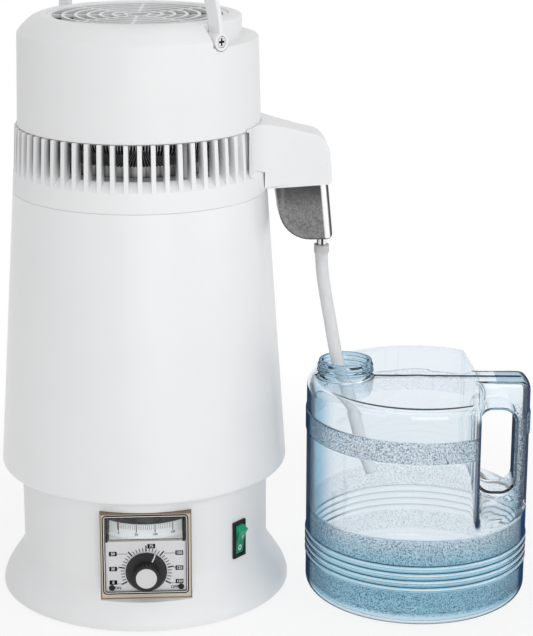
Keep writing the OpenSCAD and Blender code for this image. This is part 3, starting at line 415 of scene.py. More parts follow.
def bezel_tan():
    """Tan moulding with a painted brown line of shade along its outer edge."""
    f = Finish("tan_plastic")
    x, _, z = f.parts()
    grain = f.noise(0.7, 2)
    out = abs(x).most(abs(z - PANEL_MID * MM))
    colour = f.blend(grain, (0.53, 0.46, 0.37), (0.65, 0.56, 0.44))
    # Painted shade: a brown line along the outer edge
    colour = f.blend(out.rise_mm(34.9, 35.4) * 0.75, colour, (0.11, 0.06, 0.03))
    return f.plain(colour, 0.45 + 0.15 * grain, grain, 0.01, 0.4, specular_ior_level=0.3)


def rocker_green():
    """Clear green moulding with painted light where it tips outwards and a faint painted glow."""
    f = Finish("rocker_green")
    z = f.parts()[2]
    grain = f.noise(0.5, 2)
    colour = f.blend(f.noise(3), (0.003, 0.14, 0.07), (0.008, 0.23, 0.12))
    # Painted light on the top, where it tips outwards
    colour = f.blend(z.rise_mm(60, 66) * 0.6, colour, (0.012, 0.36, 0.20))
    # The emission is a painted glow
    return f.plain(colour, 0.3 + 0.1 * grain, grain, 0.01, 0.4, specular_ior_level=0.25,
                   emission_color=colour, emission_strength=0.15)


def milky_hose():
    """Soft translucent tube: a milky skin, a lighter core and a greyer sleeve on the nipple."""
    f = Finish("milky_hose")
    z = f.parts()[2]
    clouds = f.noise(5)
    colour = f.blend(clouds, (0.83, 0.84, 0.85), (0.90, 0.905, 0.91))
    colour = f.blend(z.rise_mm(275, 279) * 0.45, colour, (0.50, 0.50, 0.51))
    skin = f.shader(base_color=colour, roughness=0.28 + 0.15 * clouds, ior=1.42,
                    normal=f.bump(f.noise(1.1, 2), 0.02, 0.5))
    glow = f.node("BsdfTranslucent", {"Color": (0.88, 0.885, 0.89)})
    return f.done(f.mixed(0.3, skin, glow))


def lid_steel():
    """Drawn steel: upright streaks round its side, painted shade at its foot behind the band, and a polished
    top with a painted reflection of the fins on it.
    """
    f = Finish("lid_steel")
    x, y, z = f.parts()
    streaks = f.noise(2.6, 3, f.stretched(1, 1, 0.05)).rise(0.34, 0.68)
    top = z.rise_mm(364.4, 365.2)
    # Painted reflection of the fins on the polished top
    painted_fin_reflection = (y.math("ARCTAN2", x) * 190.0).math("SINE").rise(0.0, 0.6)
    colour = f.blend(streaks, grey(0.12), grey(0.42))
    # Painted shade on the foot of the lid, behind the band
    colour = f.blend(1 - z.rise_mm(339, 346), colour, grey(0.04))
    colour = f.blend(top, colour, f.blend(painted_fin_reflection, grey(0.02), grey(0.8)))
    return f.plain(colour, 0.28 + 0.15 * streaks, f.noise(1.2, 2, f.stretched(1, 1, 0.1)), 0.02, 0.6,
                   metallic=1 - 0.6 * top)


# The cup's round lower left corner, by its middle and radius, and its leaning right edge, by x and z
CUP_BOW = (136.0, 317.5)
CUP_BOW_R = 26.0
CUP_EDGE = (153.8, 295.5)
CUP_LEAN = 4.4 / 47


def cup_steel():
    """Pressed steel: mottled, with a painted shadow under the spout, a painted highlight along its upright
    bend, a faint painted shine by its round corner and painted shade along its edges.
    """
    f = Finish("cup_steel")
    x, _, z = f.parts()
    mottle = f.noise(1.6, 4, rough=0.7)
    clouds = f.noise(8)
    to_edge = (CUP_EDGE[0] + CUP_EDGE[1] * CUP_LEAN) * MM - z * CUP_LEAN - x
    # Masks of painted light: a highlight along the bend, shade along the right edge and the round corner, and
    # a faint shine inside that corner
    bend = to_edge.within_mm(2.4, 6.6, 0.7)
    rim = 1 - to_edge.rise_mm(1.3, 2.2)
    across, up = CUP_BOW[0] * MM - x, CUP_BOW[1] * MM - z
    bow = (across.most(0.0) ** 2 + up.most(0.0) ** 2) ** 0.5
    edge = bow.rise_mm(CUP_BOW_R - 1.3, CUP_BOW_R - 0.5) * (1 - z.rise_mm(300, 316)) * 0.8
    painted_shine = bow.within_mm(CUP_BOW_R - 4.5, CUP_BOW_R - 1.5, 1.2)
    colour = f.blend(mottle.rise(0.3, 0.7) * 0.6 + clouds * 0.4, grey(0.07), grey(0.24))
    # Painted shadow under the spout, then the painted shine, the painted highlight on the bend and painted
    # shade at the edges
    colour = f.blend(z.rise_mm(312, 336) * (0.5 + 0.5 * mottle), colour, grey(0.018))
    colour = f.blend(painted_shine * 0.2 * clouds, colour, grey(0.45))
    colour = f.blend(bend, colour, grey(0.80))
    colour = f.blend(rim.most(edge), colour, grey(0.03))
    return f.plain(colour, 0.24 + 0.2 * mottle, mottle, 0.03, 0.5, metallic=1.0)


def nipple_steel():
    """Turned steel with two dark lines of reflection along its front."""
    f = Finish("nipple_steel")
    x = f.parts()[0]
    lines = f.noise(0.4, 2, f.stretched(0.1, 0.1, 1))
    dark = x.within_mm(145.2, 147.0, 0.3).most(x.within_mm(140, 142.7, 0.2))
    colour = f.blend(dark, f.blend(lines, grey(0.72), grey(0.9)), grey(0.03))
    return f.plain(colour, 0.2 + 0.1 * lines, lines, 0.01, 0.5, metallic=1.0)


PIVOT_TURN = radians(-48)
PIVOT_Z = 458.5
CROSS_THIN = 0.85 * MM
CROSS_LONG = 2.9 * MM


def pivot_screw():
    """Zinc-plated screw with painted shade in its cross recess."""
    f = Finish("pivot_screw")
    x, y, z = f.parts()
    side = abs(y * cos(PIVOT_TURN) - x * sin(PIVOT_TURN))
    rise = abs(z - PIVOT_Z * MM)
    painted_recess_shade = ((side < CROSS_THIN) * (rise < CROSS_LONG)).most((rise < CROSS_THIN) * (side < CROSS_LONG))
    grain = f.noise(0.4, 2)
    # The cross recess is painted dark as shade
    colour = f.blend(painted_recess_shade, f.blend(grain, grey(0.55), grey(0.75)), grey(0.012))
    return f.plain(colour, 0.3 + 0.2 * grain, grain, 0.01, 0.5, metallic=0.6)


def printed_ink(name, dark, light):
    f = Finish(name)
    speck = f.noise(0.35, 2)
    return f.plain(f.blend(speck, grey(dark), grey(light)), 0.5 + 0.2 * speck, speck, 0.006, 0.4,
                   specular_ior_level=0.1)


FINISHES = {
    "white_moulding": white_moulding("white_moulding"),
    "white_enamel": white_enamel(),
    "steel": brushed_metal("brushed_steel", grey(0.36), grey(0.60), 0.24, (1, 1, 0.08)),
    "louvre_moulding": white_moulding("louvre_moulding", 30, (0.82, 0.825, 0.835), (0.87, 0.872, 0.878),
                                      painted_shade_in_slots),
    "cap_moulding": white_moulding("cap_moulding", shade=shadow_in_cap),
    "lid_steel": lid_steel(),
    "cup_steel": cup_steel(),
    "nipple_steel": nipple_steel(),
    "pivot_screw": pivot_screw(),
    "bright_steel": brushed_metal("bright_steel", grey(0.45), grey(0.7), 0.18, (1, 1, 0.3)),
    "knob_cap": brushed_metal("knob_cap", grey(0.54), grey(0.66), 0.5),
    "zinc": brushed_metal("zinc_plate", (0.38, 0.39, 0.39), (0.58, 0.59, 0.60), 0.35, (0.3, 1, 1)),
    # Fin faces are painted dark as shade between the fins; their rims are painted light as a highlight
    "fins": brushed_metal("fin_faces_painted_shade", (0.02, 0.02, 0.021), (0.06, 0.06, 0.062), 0.45),
    "fin_edges_painted_light": brushed_metal("fin_edges_painted_light", (0.42, 0.42, 0.43), (0.75, 0.75, 0.76), 0.35),
    "aluminium": brushed_metal("cast_aluminium", (0.40, 0.40, 0.41), (0.62, 0.62, 0.63), 0.38),
    "tan": bezel_tan(),
    "black": grained_plastic("black_plastic", (0.008, 0.008, 0.009), (0.018, 0.018, 0.019), 0.4, gloss=0.2),
    "knob": grained_plastic("knob_plastic", grey(0.014), grey(0.030), 0.35, 0.4, gloss=0.3),
    "case": grained_plastic("case_plastic", (0.02, 0.02, 0.021), (0.04, 0.04, 0.042), 0.5),
    "rubber": grained_plastic("foot_rubber", grey(0.03), grey(0.06), 0.65),
    "fan": grained_plastic("fan_plastic", (0.30, 0.305, 0.31), (0.40, 0.405, 0.41), 0.4),
    # The scale's glow is painted light
    "scale": grained_plastic("scale_white", (0.84, 0.84, 0.85), (0.90, 0.90, 0.91), 0.5, glow=0.3),
    "cutout": grained_plastic("cutout_cream", (0.62, 0.57, 0.45), (0.72, 0.67, 0.55), 0.5),
    "silicone": grained_plastic("seal_silicone", (0.60, 0.60, 0.58), (0.70, 0.70, 0.68), 0.45),
    "red": grained_plastic("red_plastic", (0.36, 0.012, 0.01), (0.50, 0.02, 0.016), 0.35),
    "dial": dial_silver(),
    "window": clear_window(),
    "lamp": lamp_lens(),
    "green": rocker_green(),
    "hose": milky_hose(),
    "black_ink": printed_ink("black_ink", 0.003, 0.008),
    "white_ink": printed_ink("white_ink", 0.66, 0.82),
}
hose.data.materials.append(FINISHES["hose"])


# CAD nodes that stay: each gets its finish, eased edges in millimetres and smooth shading
NODE_FINISH = {
    "foot_ring": ("rubber", 0.6), "base_shell": ("white_moulding", 0.9), "bottom_plate": ("zinc", 0.3),
    "plate_screws": ("zinc", 0.3), "mains_inlet": ("black", 0.5), "fan_outlet": ("black", 0.5),
    "reset_collar": ("black", 0.5), "controller_bezel": ("tan", 0.45), "controller_case": ("case", 0.4),
    "dial_plate": ("dial", 0.1), "meter_scale": ("scale", 0.15), "meter_movement": ("aluminium", 0.2),
    "meter_window": ("window", 0.0), "lamp_lenses": ("lamp", 0.5), "dial_potentiometer": ("zinc", 0.3),
    "switch_body": ("black", 0.7), "boiler_shell": ("white_enamel", 0.3), "boiler_pot": ("steel", 0.2),
    "heating_plate": ("aluminium", 0.4), "thermal_cutout": ("cutout", 0.3), "heater_studs": ("zinc", 0.3),
    "control_knob": ("knob", 0.3), "knob_cap": ("knob_cap", 0.12), "knob_shaft": ("zinc", 0.2),
    "switch_rocker": ("green", 0.5), "meter_needle": ("red", 0.1), "reset_button": ("red", 0.6),
    "louvre_ring": ("louvre_moulding", 0.3), "spout_housing": ("white_moulding", 0.8),
    "top_cap": ("cap_moulding", 1.0), "fan_guard": ("white_moulding", 0.5), "steam_lid": ("lid_steel", 0.3),
    "lid_seal": ("silicone", 0.4), "steam_riser": ("bright_steel", 0.3), "condenser_coil": ("fins", 0.0),
    "condensate_outlet": ("bright_steel", 0.3), "fan_motor": ("case", 0.5),
    "motor_bracket": ("zinc", 0.3), "motor_screws": ("zinc", 0.3), "motor_pillars": ("white_moulding", 0.4),
    "fan_inlet": ("black", 0.4), "handle_screws": ("pivot_screw", 0.2), "fan_blade": ("fan", 0.0),
    "fan_nut": ("zinc", 0.3), "carry_handle": ("white_moulding", 1.0), "spout_cup": ("cup_steel", 0.15),
    "hose_nipple": ("nipple_steel", 0.2),
}
WELD_GAP = 0.002 * MM
FLAT_ANGLE = radians(0.4)
EDGE_ANGLE = radians(32)

# Nodes whose many-sided faces are split before their edges are eased
SPLIT_FIRST = {"top_cap"}


def dress_node(name, finish, edge):
    """Modifiers only: weld, merge flat facets, ease the edges and weight the shading."""
    obj = nodes[name]
    mesh = obj.data
    mesh.materials.clear()
    mesh.materials.append(FINISHES[finish])
    for key in ("custom_normal", "sharp_edge"):
        if key in mesh.attributes:
            mesh.attributes.remove(mesh.attributes[key])
    for polygon in mesh.polygons:
        polygon.use_smooth = True
        polygon.material_index = 0
    weld = obj.modifiers.new("weld", "WELD")
    weld.merge_threshold = WELD_GAP
    if edge:
        flat = obj.modifiers.new("flat_faces", "DECIMATE")
        flat.decimate_type = "DISSOLVE"
        flat.angle_limit = FLAT_ANGLE
        if name in SPLIT_FIRST:
            split = obj.modifiers.new("split_faces", "TRIANGULATE")
            split.min_vertices = 5
        ease = obj.modifiers.new("eased_edges", "BEVEL")
        ease.width = edge * MM
        ease.segments = 3
        ease.limit_method = "ANGLE"
        ease.angle_limit = EDGE_ANGLE
        ease.use_clamp_overlap = name not in SPLIT_FIRST
    shade = obj.modifiers.new("weighted_shading", "WEIGHTED_NORMAL")
    shade.keep_sharp = False
    shade.weight = 80


for node_name, (finish_name, edge_mm) in NODE_FINISH.items():
    dress_node(node_name, finish_name, edge_mm)


# Panel: printed dial, frame lines, meter lining and marks on the knob and the rocker
DIAL_FACE = -99.7
KNOB_MID = 43.5
INK = 0.08
SUNK = 0.05
CAPITAL_SHARE = 0.72
BOLDER = 0.035


def prism(bm, outline, front, back):
    """A plate from an outline of (x, z) points, between two depths along y, all in millimetres."""
    cap_rings(bm, [ring_of(bm, [(x, y, z) for x, z in outline]) for y in (front, back)])


def bar(bm, a, b, width, front, back):
    """A straight printed line from a to b."""
    a, b = Vector(a), Vector(b)
    run = (b - a).normalized() * (width / 2)
    side = Vector((-run.y, run.x))
    prism(bm, [a - side, b - side, b + side, a + side], front, back)


def rounded_outline(x, z, half_w, half_h, radius, steps=6):
    points = []
    for sx, sz, start in ((1, 1, 0), (-1, 1, 90), (-1, -1, 180), (1, -1, 270)):
        for k in range(steps + 1):
            a = radians(start + 90 * k / steps)
            points.append((x + sx * (half_w - radius) + radius * cos(a),
                           z + sz * (half_h - radius) + radius * sin(a)))
    return points


def frame_ring(bm, x, z, half_w, half_h, radius, width, front, back):
    """A rounded rectangular ring of the given width."""
    outer = rounded_outline(x, z, half_w, half_h, radius)
    inner = rounded_outline(x, z, half_w - width, half_h - width, max(radius - width, 0.3))
    rings = [ring_of(bm, [(px, y, pz) for px, pz in line])
             for line, y in ((outer, back), (outer, front), (inner, front), (inner, back))]
    join_rings(bm, rings, closed=True)


def letters(bm, words, height, place):
    """Raised characters; place maps (across, out, up) in millimetres to a point of the row frame."""
    curve = bpy.data.curves.new("letters", "FONT")
    curve.body = words
    curve.size = height / CAPITAL_SHARE
    curve.align_x = curve.align_y = "CENTER"
    curve.resolution_u = 3
    curve.extrude = INK / 2
    curve.offset = BOLDER * height
    holder = placed("letters", curve)
    mesh = baked(holder)
    for vertex in mesh.vertices:
        x, y, z = vertex.co
        vertex.co = Vector(place(x, z, y)) * MM
    bm.from_mesh(mesh)
    bpy.data.objects.remove(holder)
    bpy.data.curves.remove(curve)
    bpy.data.meshes.remove(mesh)


def lay_on_panel(pieces):
    """Printed and lining pieces of the control panel: name, mesh, finish and slot; the slot is not used."""
    for name, bm, finish, slot in pieces:
        piece = new_piece(name, bm, FINISHES[finish], smooth=False)
        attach(piece, "boiler")


def on_dial(x, z, proud):
    return lambda across, out, up: (x + across, DIAL_FACE - proud - out, z + up)


# Minor and major ticks round the knob
TICK_IN = 17.2
TICK_OUT = (20.2, 22.2)
TICK_WIDTH = (0.6, 1.1)
TICK_STEP = 39.5
TICKS_A_STEP = 5
TICKS_A_SIDE = 15
DIAL_NUMBERS = [("0", -26.2, -22.8), ("25", -26.2, -11.2), ("50", -26.2, 1.6), ("75", 4.2, 7.6),
                ("100", 26.2, 1.6), ("125", 26.2, -11.2), ("150", 26.2, -22.8)]
DIAL_WORDS = [("ON", -22.6, -27.6), ("OFF", 22.2, -27.6)]
NUMBER_HEIGHT = 2.3
WORD_HEIGHT = 2.4
LEADER = 0.35
LEADERS = [((23.6, 1.4), (14.6, 1.4)), ((23.6, -11), (21.9, -11)), ((23.6, -24), (19.6, -24.2))]


def make_dial_print():
    dark, light = bmesh.new(), bmesh.new()
    back = DIAL_FACE + SUNK
    front = DIAL_FACE - INK
    mid = Vector((0, KNOB_MID))
    for k in range(-TICKS_A_SIDE, TICKS_A_SIDE + 1):
        major = k % TICKS_A_STEP == 0
        turn = radians(k * TICK_STEP / TICKS_A_STEP)
        aim = Vector((sin(turn), cos(turn)))
        bar(dark, mid + aim * TICK_IN, mid + aim * TICK_OUT[major], TICK_WIDTH[major], front, back)
    for words, x, z in DIAL_NUMBERS:
        plate = rounded_outline(x, PANEL_MID + z, half_w=3.1, half_h=1.9, radius=0.3, steps=2)
        prism(dark, plate, front, back)
        letters(light, words, NUMBER_HEIGHT, on_dial(x, PANEL_MID + z, 1.5 * INK))
    for side in (-1, 1):
        for a, b in LEADERS:
            bar(dark, (side * a[0], PANEL_MID + a[1]), (side * b[0], PANEL_MID + b[1]), LEADER, front, back)
    for words, x, z in DIAL_WORDS:
        letters(dark, words, WORD_HEIGHT, on_dial(x, PANEL_MID + z, 0.3 * INK))
    lay_on_panel([("dial_print", dark, "black_ink", "dial_silver"),
                  ("dial_numerals", light, "white_ink", "dial_silver")])


FRAME_MID = (-0.35, 58.7)
FRAME_HALF = (34.05, 33.5)
FRAME_ROUND = 3.2
BEZEL_FACE = -101.5


def make_panel_frame():
    """The cover's edge: a light line of painted highlight between black lines, the outer one a painted shadow
    of the gap round the cover, and a black strip on each side of the meter.
    """
    light, dark = bmesh.new(), bmesh.new()
    # The outer black line is painted shadow of the gap round the cover; the light line is a painted highlight
    # on its edge
    for bm, inset, width in ((dark, 0.0, 1.0), (light, 1.0, 0.6), (dark, 1.6, 0.6)):
        frame_ring(bm, *FRAME_MID, FRAME_HALF[0] - inset, FRAME_HALF[1] - inset, FRAME_ROUND - inset, width,
                   BEZEL_FACE - INK, BEZEL_FACE + SUNK)
    for x in (-31.1, 29.9):
        strip = rounded_outline(x, 79.3, half_w=1.0, half_h=10.4, radius=0.3, steps=2)
        prism(dark, strip, DIAL_FACE - INK, DIAL_FACE + SUNK)
    lay_on_panel([("cover_light_line", light, "white_ink", "dial_silver"),
                  ("cover_black_lines", dark, "black_ink", "dial_silver")])


METER_Y = -51.0
SCALE_R = 45.0
SCALE_HALF = 28.5
SCALE_TICKS = 30
SCALE_TICK = [(0.16, 77.4), (0.42, 75.0)]
SCALE_TOP = 81.6
SHELF_HALF = 29
SHELF_FRONT = -98.3
SHELF_STEPS = 24


def on_scale(angle, height, proud):
    """A place on the curved scale: across turns round it, up stays up."""
    def place(across, out, up):
        turn = radians(angle) + across / SCALE_R
        r = SCALE_R + proud + out
        return (r * sin(turn), METER_Y - r * cos(turn), height + up)
    return place


def curved_strip(bm, from_deg, to_deg, low, high, r_in, r_out, steps):
    """Part of a ring round the meter's axis."""
    rings = []
    for k in range(steps + 1):
        turn = radians(from_deg + (to_deg - from_deg) * k / steps)
        rings.append(ring_of(bm, [(r * sin(turn), METER_Y - r * cos(turn), z)
                                  for r, z in ((r_in, low), (r_out, low), (r_out, high), (r_in, high))]))
    cap_rings(bm, rings)


def make_shelf(bm, low, high):
    """A level shelf from the foot of the scale to the window."""
    rings = []
    for k in range(SHELF_STEPS + 1):
        x = -SHELF_HALF + 2 * SHELF_HALF * k / SHELF_STEPS
        back = METER_Y - sqrt((SCALE_R + 0.4) ** 2 - x ** 2)
        rings.append(ring_of(bm, [(x, y, z) for y, z in (
            (SHELF_FRONT, low), (back, low), (back, high), (SHELF_FRONT, high))]))
    cap_rings(bm, rings)


def make_meter_print():
    ink, lip, lining = bmesh.new(), bmesh.new(), bmesh.new()
    for k in range(SCALE_TICKS + 1):
        angle = -SCALE_HALF + 2 * SCALE_HALF * k / SCALE_TICKS
        major = k % 10 == 0
        half, foot = SCALE_TICK[major]
        curved_strip(ink, angle - half, angle + half, foot, SCALE_TOP, SCALE_R - 0.1, SCALE_R + INK, steps=2)
        if major:
            letters(ink, str(5 * k), 1.9, on_scale(angle, height=73.3, proud=INK / 2))
    curved_strip(lip, -40, 40, low=70.9, high=72.0, r_in=SCALE_R - 0.2, r_out=SCALE_R + 1.1, steps=40)
    make_shelf(lip, low=70.4, high=71.0)
    frame_ring(lining, 0, 81.05, half_w=30.4, half_h=10.7, radius=0.6, width=0.45, front=-98.4, back=-89.6)
    lay_on_panel([("scale_print", ink, "black_ink", "scale_white"),
                  ("scale_lip", lip, "scale", "scale_white"),
                  ("window_lining", lining, "black", "black_plastic")])


POINTER_TURN = radians(26)


def make_knob_pointer():
    """The white line on the knob's skirt, which follows its cone down to the rim."""
    bm = bmesh.new()
    aim = Vector((sin(POINTER_TURN), 0, cos(POINTER_TURN)))
    side = Vector((cos(POINTER_TURN), 0, -sin(POINTER_TURN)))
    mid = Vector((0, 0, KNOB_MID))
    rings = []
    for r, y in ((10.6, -103.82), (14.1, -103.82), (14.75, -103.45), (16.45, -100.9)):
        centre = mid + aim * r + Vector((0, y, 0))
        rings.append(ring_of(bm, [centre + side * s + Vector((0, d, 0))
                                  for s, d in ((-0.55, 0.2), (-0.5, 0), (0.5, 0), (0.55, 0.2))]))
    cap_rings(bm, rings)
    piece = new_piece("knob_pointer", bm, FINISHES["white_ink"], smooth=False)
    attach(piece, "knob")


ROCKER_TURN = radians(47.5)
ROCKER_AT = (101.0, 57.0)
ROCKER_FACE = [(-12.3, -1.2), (-1.5, -2.4), (4.0, -4.2), (8.6, -6.8)]
OVAL_UP = -7.3
STROKE_ACROSS = 1.4


def on_rocker(across, up, proud):
    """A place on the rocker's face: across it, up it, and proud of it."""
    for (z_low, y_low), (z_high, y_high) in zip(ROCKER_FACE, ROCKER_FACE[1:]):
        if up <= z_high:
            break
    out = y_low + (y_high - y_low) * (up - z_low) / (z_high - z_low) - proud
    return Matrix.Rotation(ROCKER_TURN, 3, "Z") @ Vector((across, out - ROCKER_AT[0], ROCKER_AT[1] + up))


def make_rocker_marks():
    """A ring on the lower half of the rocker and an upright stroke on the upper half."""
    bm = bmesh.new()
    oval = ((1.9, 2.5, -0.1), (1.9, 2.5, INK), (1.0, 1.6, INK), (1.0, 1.6, -0.1))
    join_rings(bm, [ring_of(bm, [on_rocker(half_w * cos(a), OVAL_UP + half_h * sin(a), proud)
                                 for a in full_turn(32)]) for half_w, half_h, proud in oval], closed=True)
    stroke = ((-0.45, -0.1), (-0.4, INK), (0.4, INK), (0.45, -0.1))
    cap_rings(bm, [ring_of(bm, [on_rocker(STROKE_ACROSS + side, up, proud) for side, proud in stroke])
                   for up in (0.4, 1.6, 2.8, 3.9)])
    piece = new_piece("rocker_marks", bm, FINISHES["white_ink"], smooth=False)
    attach(piece, "rocker")


make_rocker_marks()
make_dial_print()
make_panel_frame()
make_meter_print()
make_knob_pointer()


# Seam: the white bead in the joint between the boiler and the head
SEAM_BEAD = [(97.8, 333.56), (100.9, 333.56), (101.25, 333.62), (101.3, 333.7), (101.25, 333.78),
             (100.9, 333.84), (97.8, 333.84)]
SEAM_SIDES = 160


def make_seam_bead():
    bm = bmesh.new()
    join_rings(bm, swept_rings(bm, SEAM_BEAD, full_turn(SEAM_SIDES)), closed=True)
    bead = new_piece("seam_bead", bm, FINISHES["white_moulding"])
    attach(bead, "head")


SLOT_WALL = [(93.4, 350.6), (94.6, 350.8), (95.0, 351.4), (95.0, 384.6), (94.6, 385.2), (93.4, 385.4)]
SLOT_WALL_TURNS = [radians(-39 + 15 * k / 12) for k in range(13)]


def make_slot_wall():
    """The white wall behind the last slot beside the spout."""
    bm = bmesh.new()
    cap_rings(bm, swept_rings(bm, SLOT_WALL, SLOT_WALL_TURNS))
    wall = new_piece("slot_wall", bm, FINISHES["white_moulding"])
    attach(wall, "head")


make_seam_bead()
make_slot_wall()


# Condenser: close-set fins along the coil
COIL_R = 66.0
COIL_TOP = 416.55
COIL_PITCH = 16.5
COIL_RUN = (2 / 24, 58 / 24)
FIN_PITCH = 2.1
FIN_BORE = 4.35
FIN_R = 8.0
FIN_HALF = 0.28
FIN_RIM = (FIN_R - 0.3, FIN_R + 0.05)
FIN_TAPER = 0.9
FIN_SIDES = 18


def coil_place(turns):
    a = pi + 2 * pi * turns
    return Vector((COIL_R * cos(a), COIL_R * sin(a), COIL_TOP - COIL_PITCH * turns))


def add_washer(bm, mid, out, up, sections):
    """A ring of flat-sided sections round mid; each corner has a radius and a shift along the coil."""
    join_rings(bm, [ring_of(bm, [mid + shift + r * (cos(a) * out + sin(a) * up)
                                 for a in full_turn(FIN_SIDES)]) for r, shift in sections], closed=True)


def make_fins():
    """Each fin is a washer square to the coil, its faces painted dark as shade; its rim is a separate piece
    painted light as a highlight.
    """
    faces, edges = bmesh.new(), bmesh.new()
    first, last = COIL_RUN
    count = int(2 * pi * COIL_R * (last - first) / FIN_PITCH)
    for i in range(count + 1):
        turns = first + (last - first) * i / count
        mid = coil_place(turns)
        heading = (coil_place(turns + 0.001) - mid).normalized()
        out = Vector((mid.x, mid.y, 0)).normalized()
        up = out.cross(heading)
        half = heading * FIN_HALF
        thin = half * FIN_TAPER
        add_washer(faces, mid, out, up, ((FIN_BORE, half), (FIN_R, thin), (FIN_R, -thin), (FIN_BORE, -half)))
        add_washer(edges, mid, out, up, (
            (FIN_RIM[0], half), (FIN_RIM[1], half), (FIN_RIM[1], -half), (FIN_RIM[0], -half)))
    for name, bm, finish in (("coil_fins", faces, "fins"), ("coil_fin_edges", edges, "fin_edges_painted_light")):
        piece = new_piece(name, bm, FINISHES[finish], smooth=False)
        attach(piece, "head")
        if name == "coil_fins":
            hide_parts("condenser_fins")


make_fins()


# Jug: blow-moulded shell with ribs, stippled bands, pockets beside the grip and a finger hole
JUG_AT = Vector((223, -33, 0))
JUG_TURN = radians(-4.5)
JUG_R = 90.5
JUG_H = 181.0
JUG_WALL = 2.5
JUG_CORNER = 9.0
JUG_SHOULDER = 8.0
GRIP_HALF = 16.0
POCKET_LINE = (51.0, 0.102)
POCKET_FLOOR = (75.0, 88.0)
POCKET_END = radians(80)
NECK_X = -59.5
NECK_R = 21.5
NECK_BORE = 18.5
NECK_TOP = 195.0
NECK_SIDES = 96
RIBS = even_steps(31.8, 6, 4)
RIB_HALF = 2.5
RIB_OUT = 1.0
BAND = (137.0, 155.5)
BAND_OUT = 0.8
BAND_EDGE = 1.2
FLOOR_RISE = 2.4
FLOOR_EDGE = (0.82, 0.12)
SEAM_HALF = 2.2
SEAM_OUT = 0.4


def jug_place(x, y, z):
    """A place of the jug's own frame, whose grip points along x, in the row frame."""
    return JUG_AT + Matrix.Rotation(JUG_TURN, 3, "Z") @ Vector((x, y, z))


def soft_most(a, b, soft):
    """The greater of a and b, with a rounded change from one to the other."""
    gap = max(soft - abs(a - b), 0)
    return max(a, b) + gap * gap / (4 * soft)


def soft_least(a, b, soft):
    return -soft_most(-a, -b, soft)


def jug_swell(turn, z):
    """What the ribs and the stippled band add to the plain wall; the ribs are lower behind."""
    rib_out = RIB_OUT * (0.8 - 0.2 * sin(turn))
    swell = sum(rib_out * (0.5 + 0.5 * cos(pi * (z - rib) / RIB_HALF))
                for rib in RIBS if abs(z - rib) < RIB_HALF)
    band = smooth_step((z - BAND[0]) / BAND_EDGE) * (1 - smooth_step((z - BAND[1] + BAND_EDGE) / BAND_EDGE))
    return swell + BAND_OUT * band


def jug_radius(turn, z, inset):
    """Distance of the wall from the jug's axis in the direction turn at height z."""
    plain = JUG_R - inset + (jug_swell(turn, z) if inset == 0 else 0)
    a = abs(turn)
    if a > POCKET_END:
        return plain
    side = min((GRIP_HALF - inset) / max(sin(a), 1e-6), 2 * JUG_R)
    lean = POCKET_LINE[1]
    reach = (POCKET_LINE[0] - inset + GRIP_HALF * lean) / (cos(a) + lean * sin(a))
    hollow = soft_least(plain, soft_most(side, reach, soft=12), soft=5)
    share = smooth_step((z + inset - POCKET_FLOOR[0]) / (POCKET_FLOOR[1] - POCKET_FLOOR[0]))
    return plain + (hollow - plain) * share


def jug_turns():
    """Directions round the jug, closer together where the grip's sides run outwards."""
    fine, coarse = 0.4, 1.6
    turns = []
    degrees = -180.0
    while degrees < 180 - 1e-6:
        turns.append(radians(degrees))
        near_grip = abs(degrees) < 22
        near_seam = abs(abs(degrees) - 180) < 2.6
        degrees = round(degrees + (fine if near_grip or near_seam else coarse), 3)
    return turns


def jug_heights(inset):
    """Levels of the wall, closer together at the ribs outside and at the band's edges."""
    heights = even_steps(JUG_CORNER, 2, 10) + (even_steps(29, 3, 9) if inset else even_steps(28.5, 0.5, 52))
    heights += even_steps(56, 1.5, 16) + even_steps(82, 4, 13) + even_steps(136, 0.4, 8)
    heights += even_steps(142, 4, 3) + even_steps(153.5, 0.4, 8) + [160, 165, 169]
    return sorted({round(h, 3) for h in heights if h < JUG_H - JUG_SHOULDER})


def jug_shell(inset):
    """A closed form of the jug, drawn in by inset."""
    bm = bmesh.new()
    turns = jug_turns()
    corner, shoulder = JUG_CORNER - inset, JUG_SHOULDER - inset
    top = JUG_H - JUG_SHOULDER

    # Floor, corner, wall, shoulder and top: level, radius of the bend, angle in it, share of the way out
    rows = [(JUG_CORNER, corner, radians(-90), s) for s in (0.0, 0.12, 0.3, 0.5, 0.7, 0.85, 0.93)]
    rows += [(JUG_CORNER, corner, radians(-90 + 10 * k), 1) for k in range(9)]
    rows += [(z, 0, 0, 1) for z in jug_heights(inset)]
    rows += [(top, shoulder, radians(10 * k), 1) for k in range(10)]
    rows += [(top, shoulder, radians(90), s)
             for s in (0.99, 0.97, 0.93, 0.86, 0.75, 0.6, 0.45, 0.3, 0.15, 0.0)]
    rings = []
    for level, bend, angle, share in rows:
        ring = []
        for turn in turns:
            r = (jug_radius(turn, level, inset) - bend) * share + bend * cos(angle)
            x, y, z = r * cos(turn), r * sin(turn), level + bend * sin(angle)
            if level == JUG_CORNER and share < 1:
                z += FLOOR_RISE * (1 - smooth_step((share - FLOOR_EDGE[0]) / FLOOR_EDGE[1]))
            if inset == 0 and level == top and share < 1 and abs(y) < SEAM_HALF:
                z += SEAM_OUT * (1 - (y / SEAM_HALF) ** 2)
            ring.append(jug_place(x, y, z))
        rings.append(ring)
    made = [ring_of(bm, ring) for ring in rings[1:-1]]
    join_rings(bm, made)
    for ring, end in ((made[0], rings[0]), (made[-1], rings[-1])):
        tip = ring_of(bm, end[:1])[0]
        for k in range(len(ring)):
            bm.faces.new((ring[k], ring[(k + 1) % len(ring)], tip))
    return new_piece("jug_inset" if inset else "jug", bm)


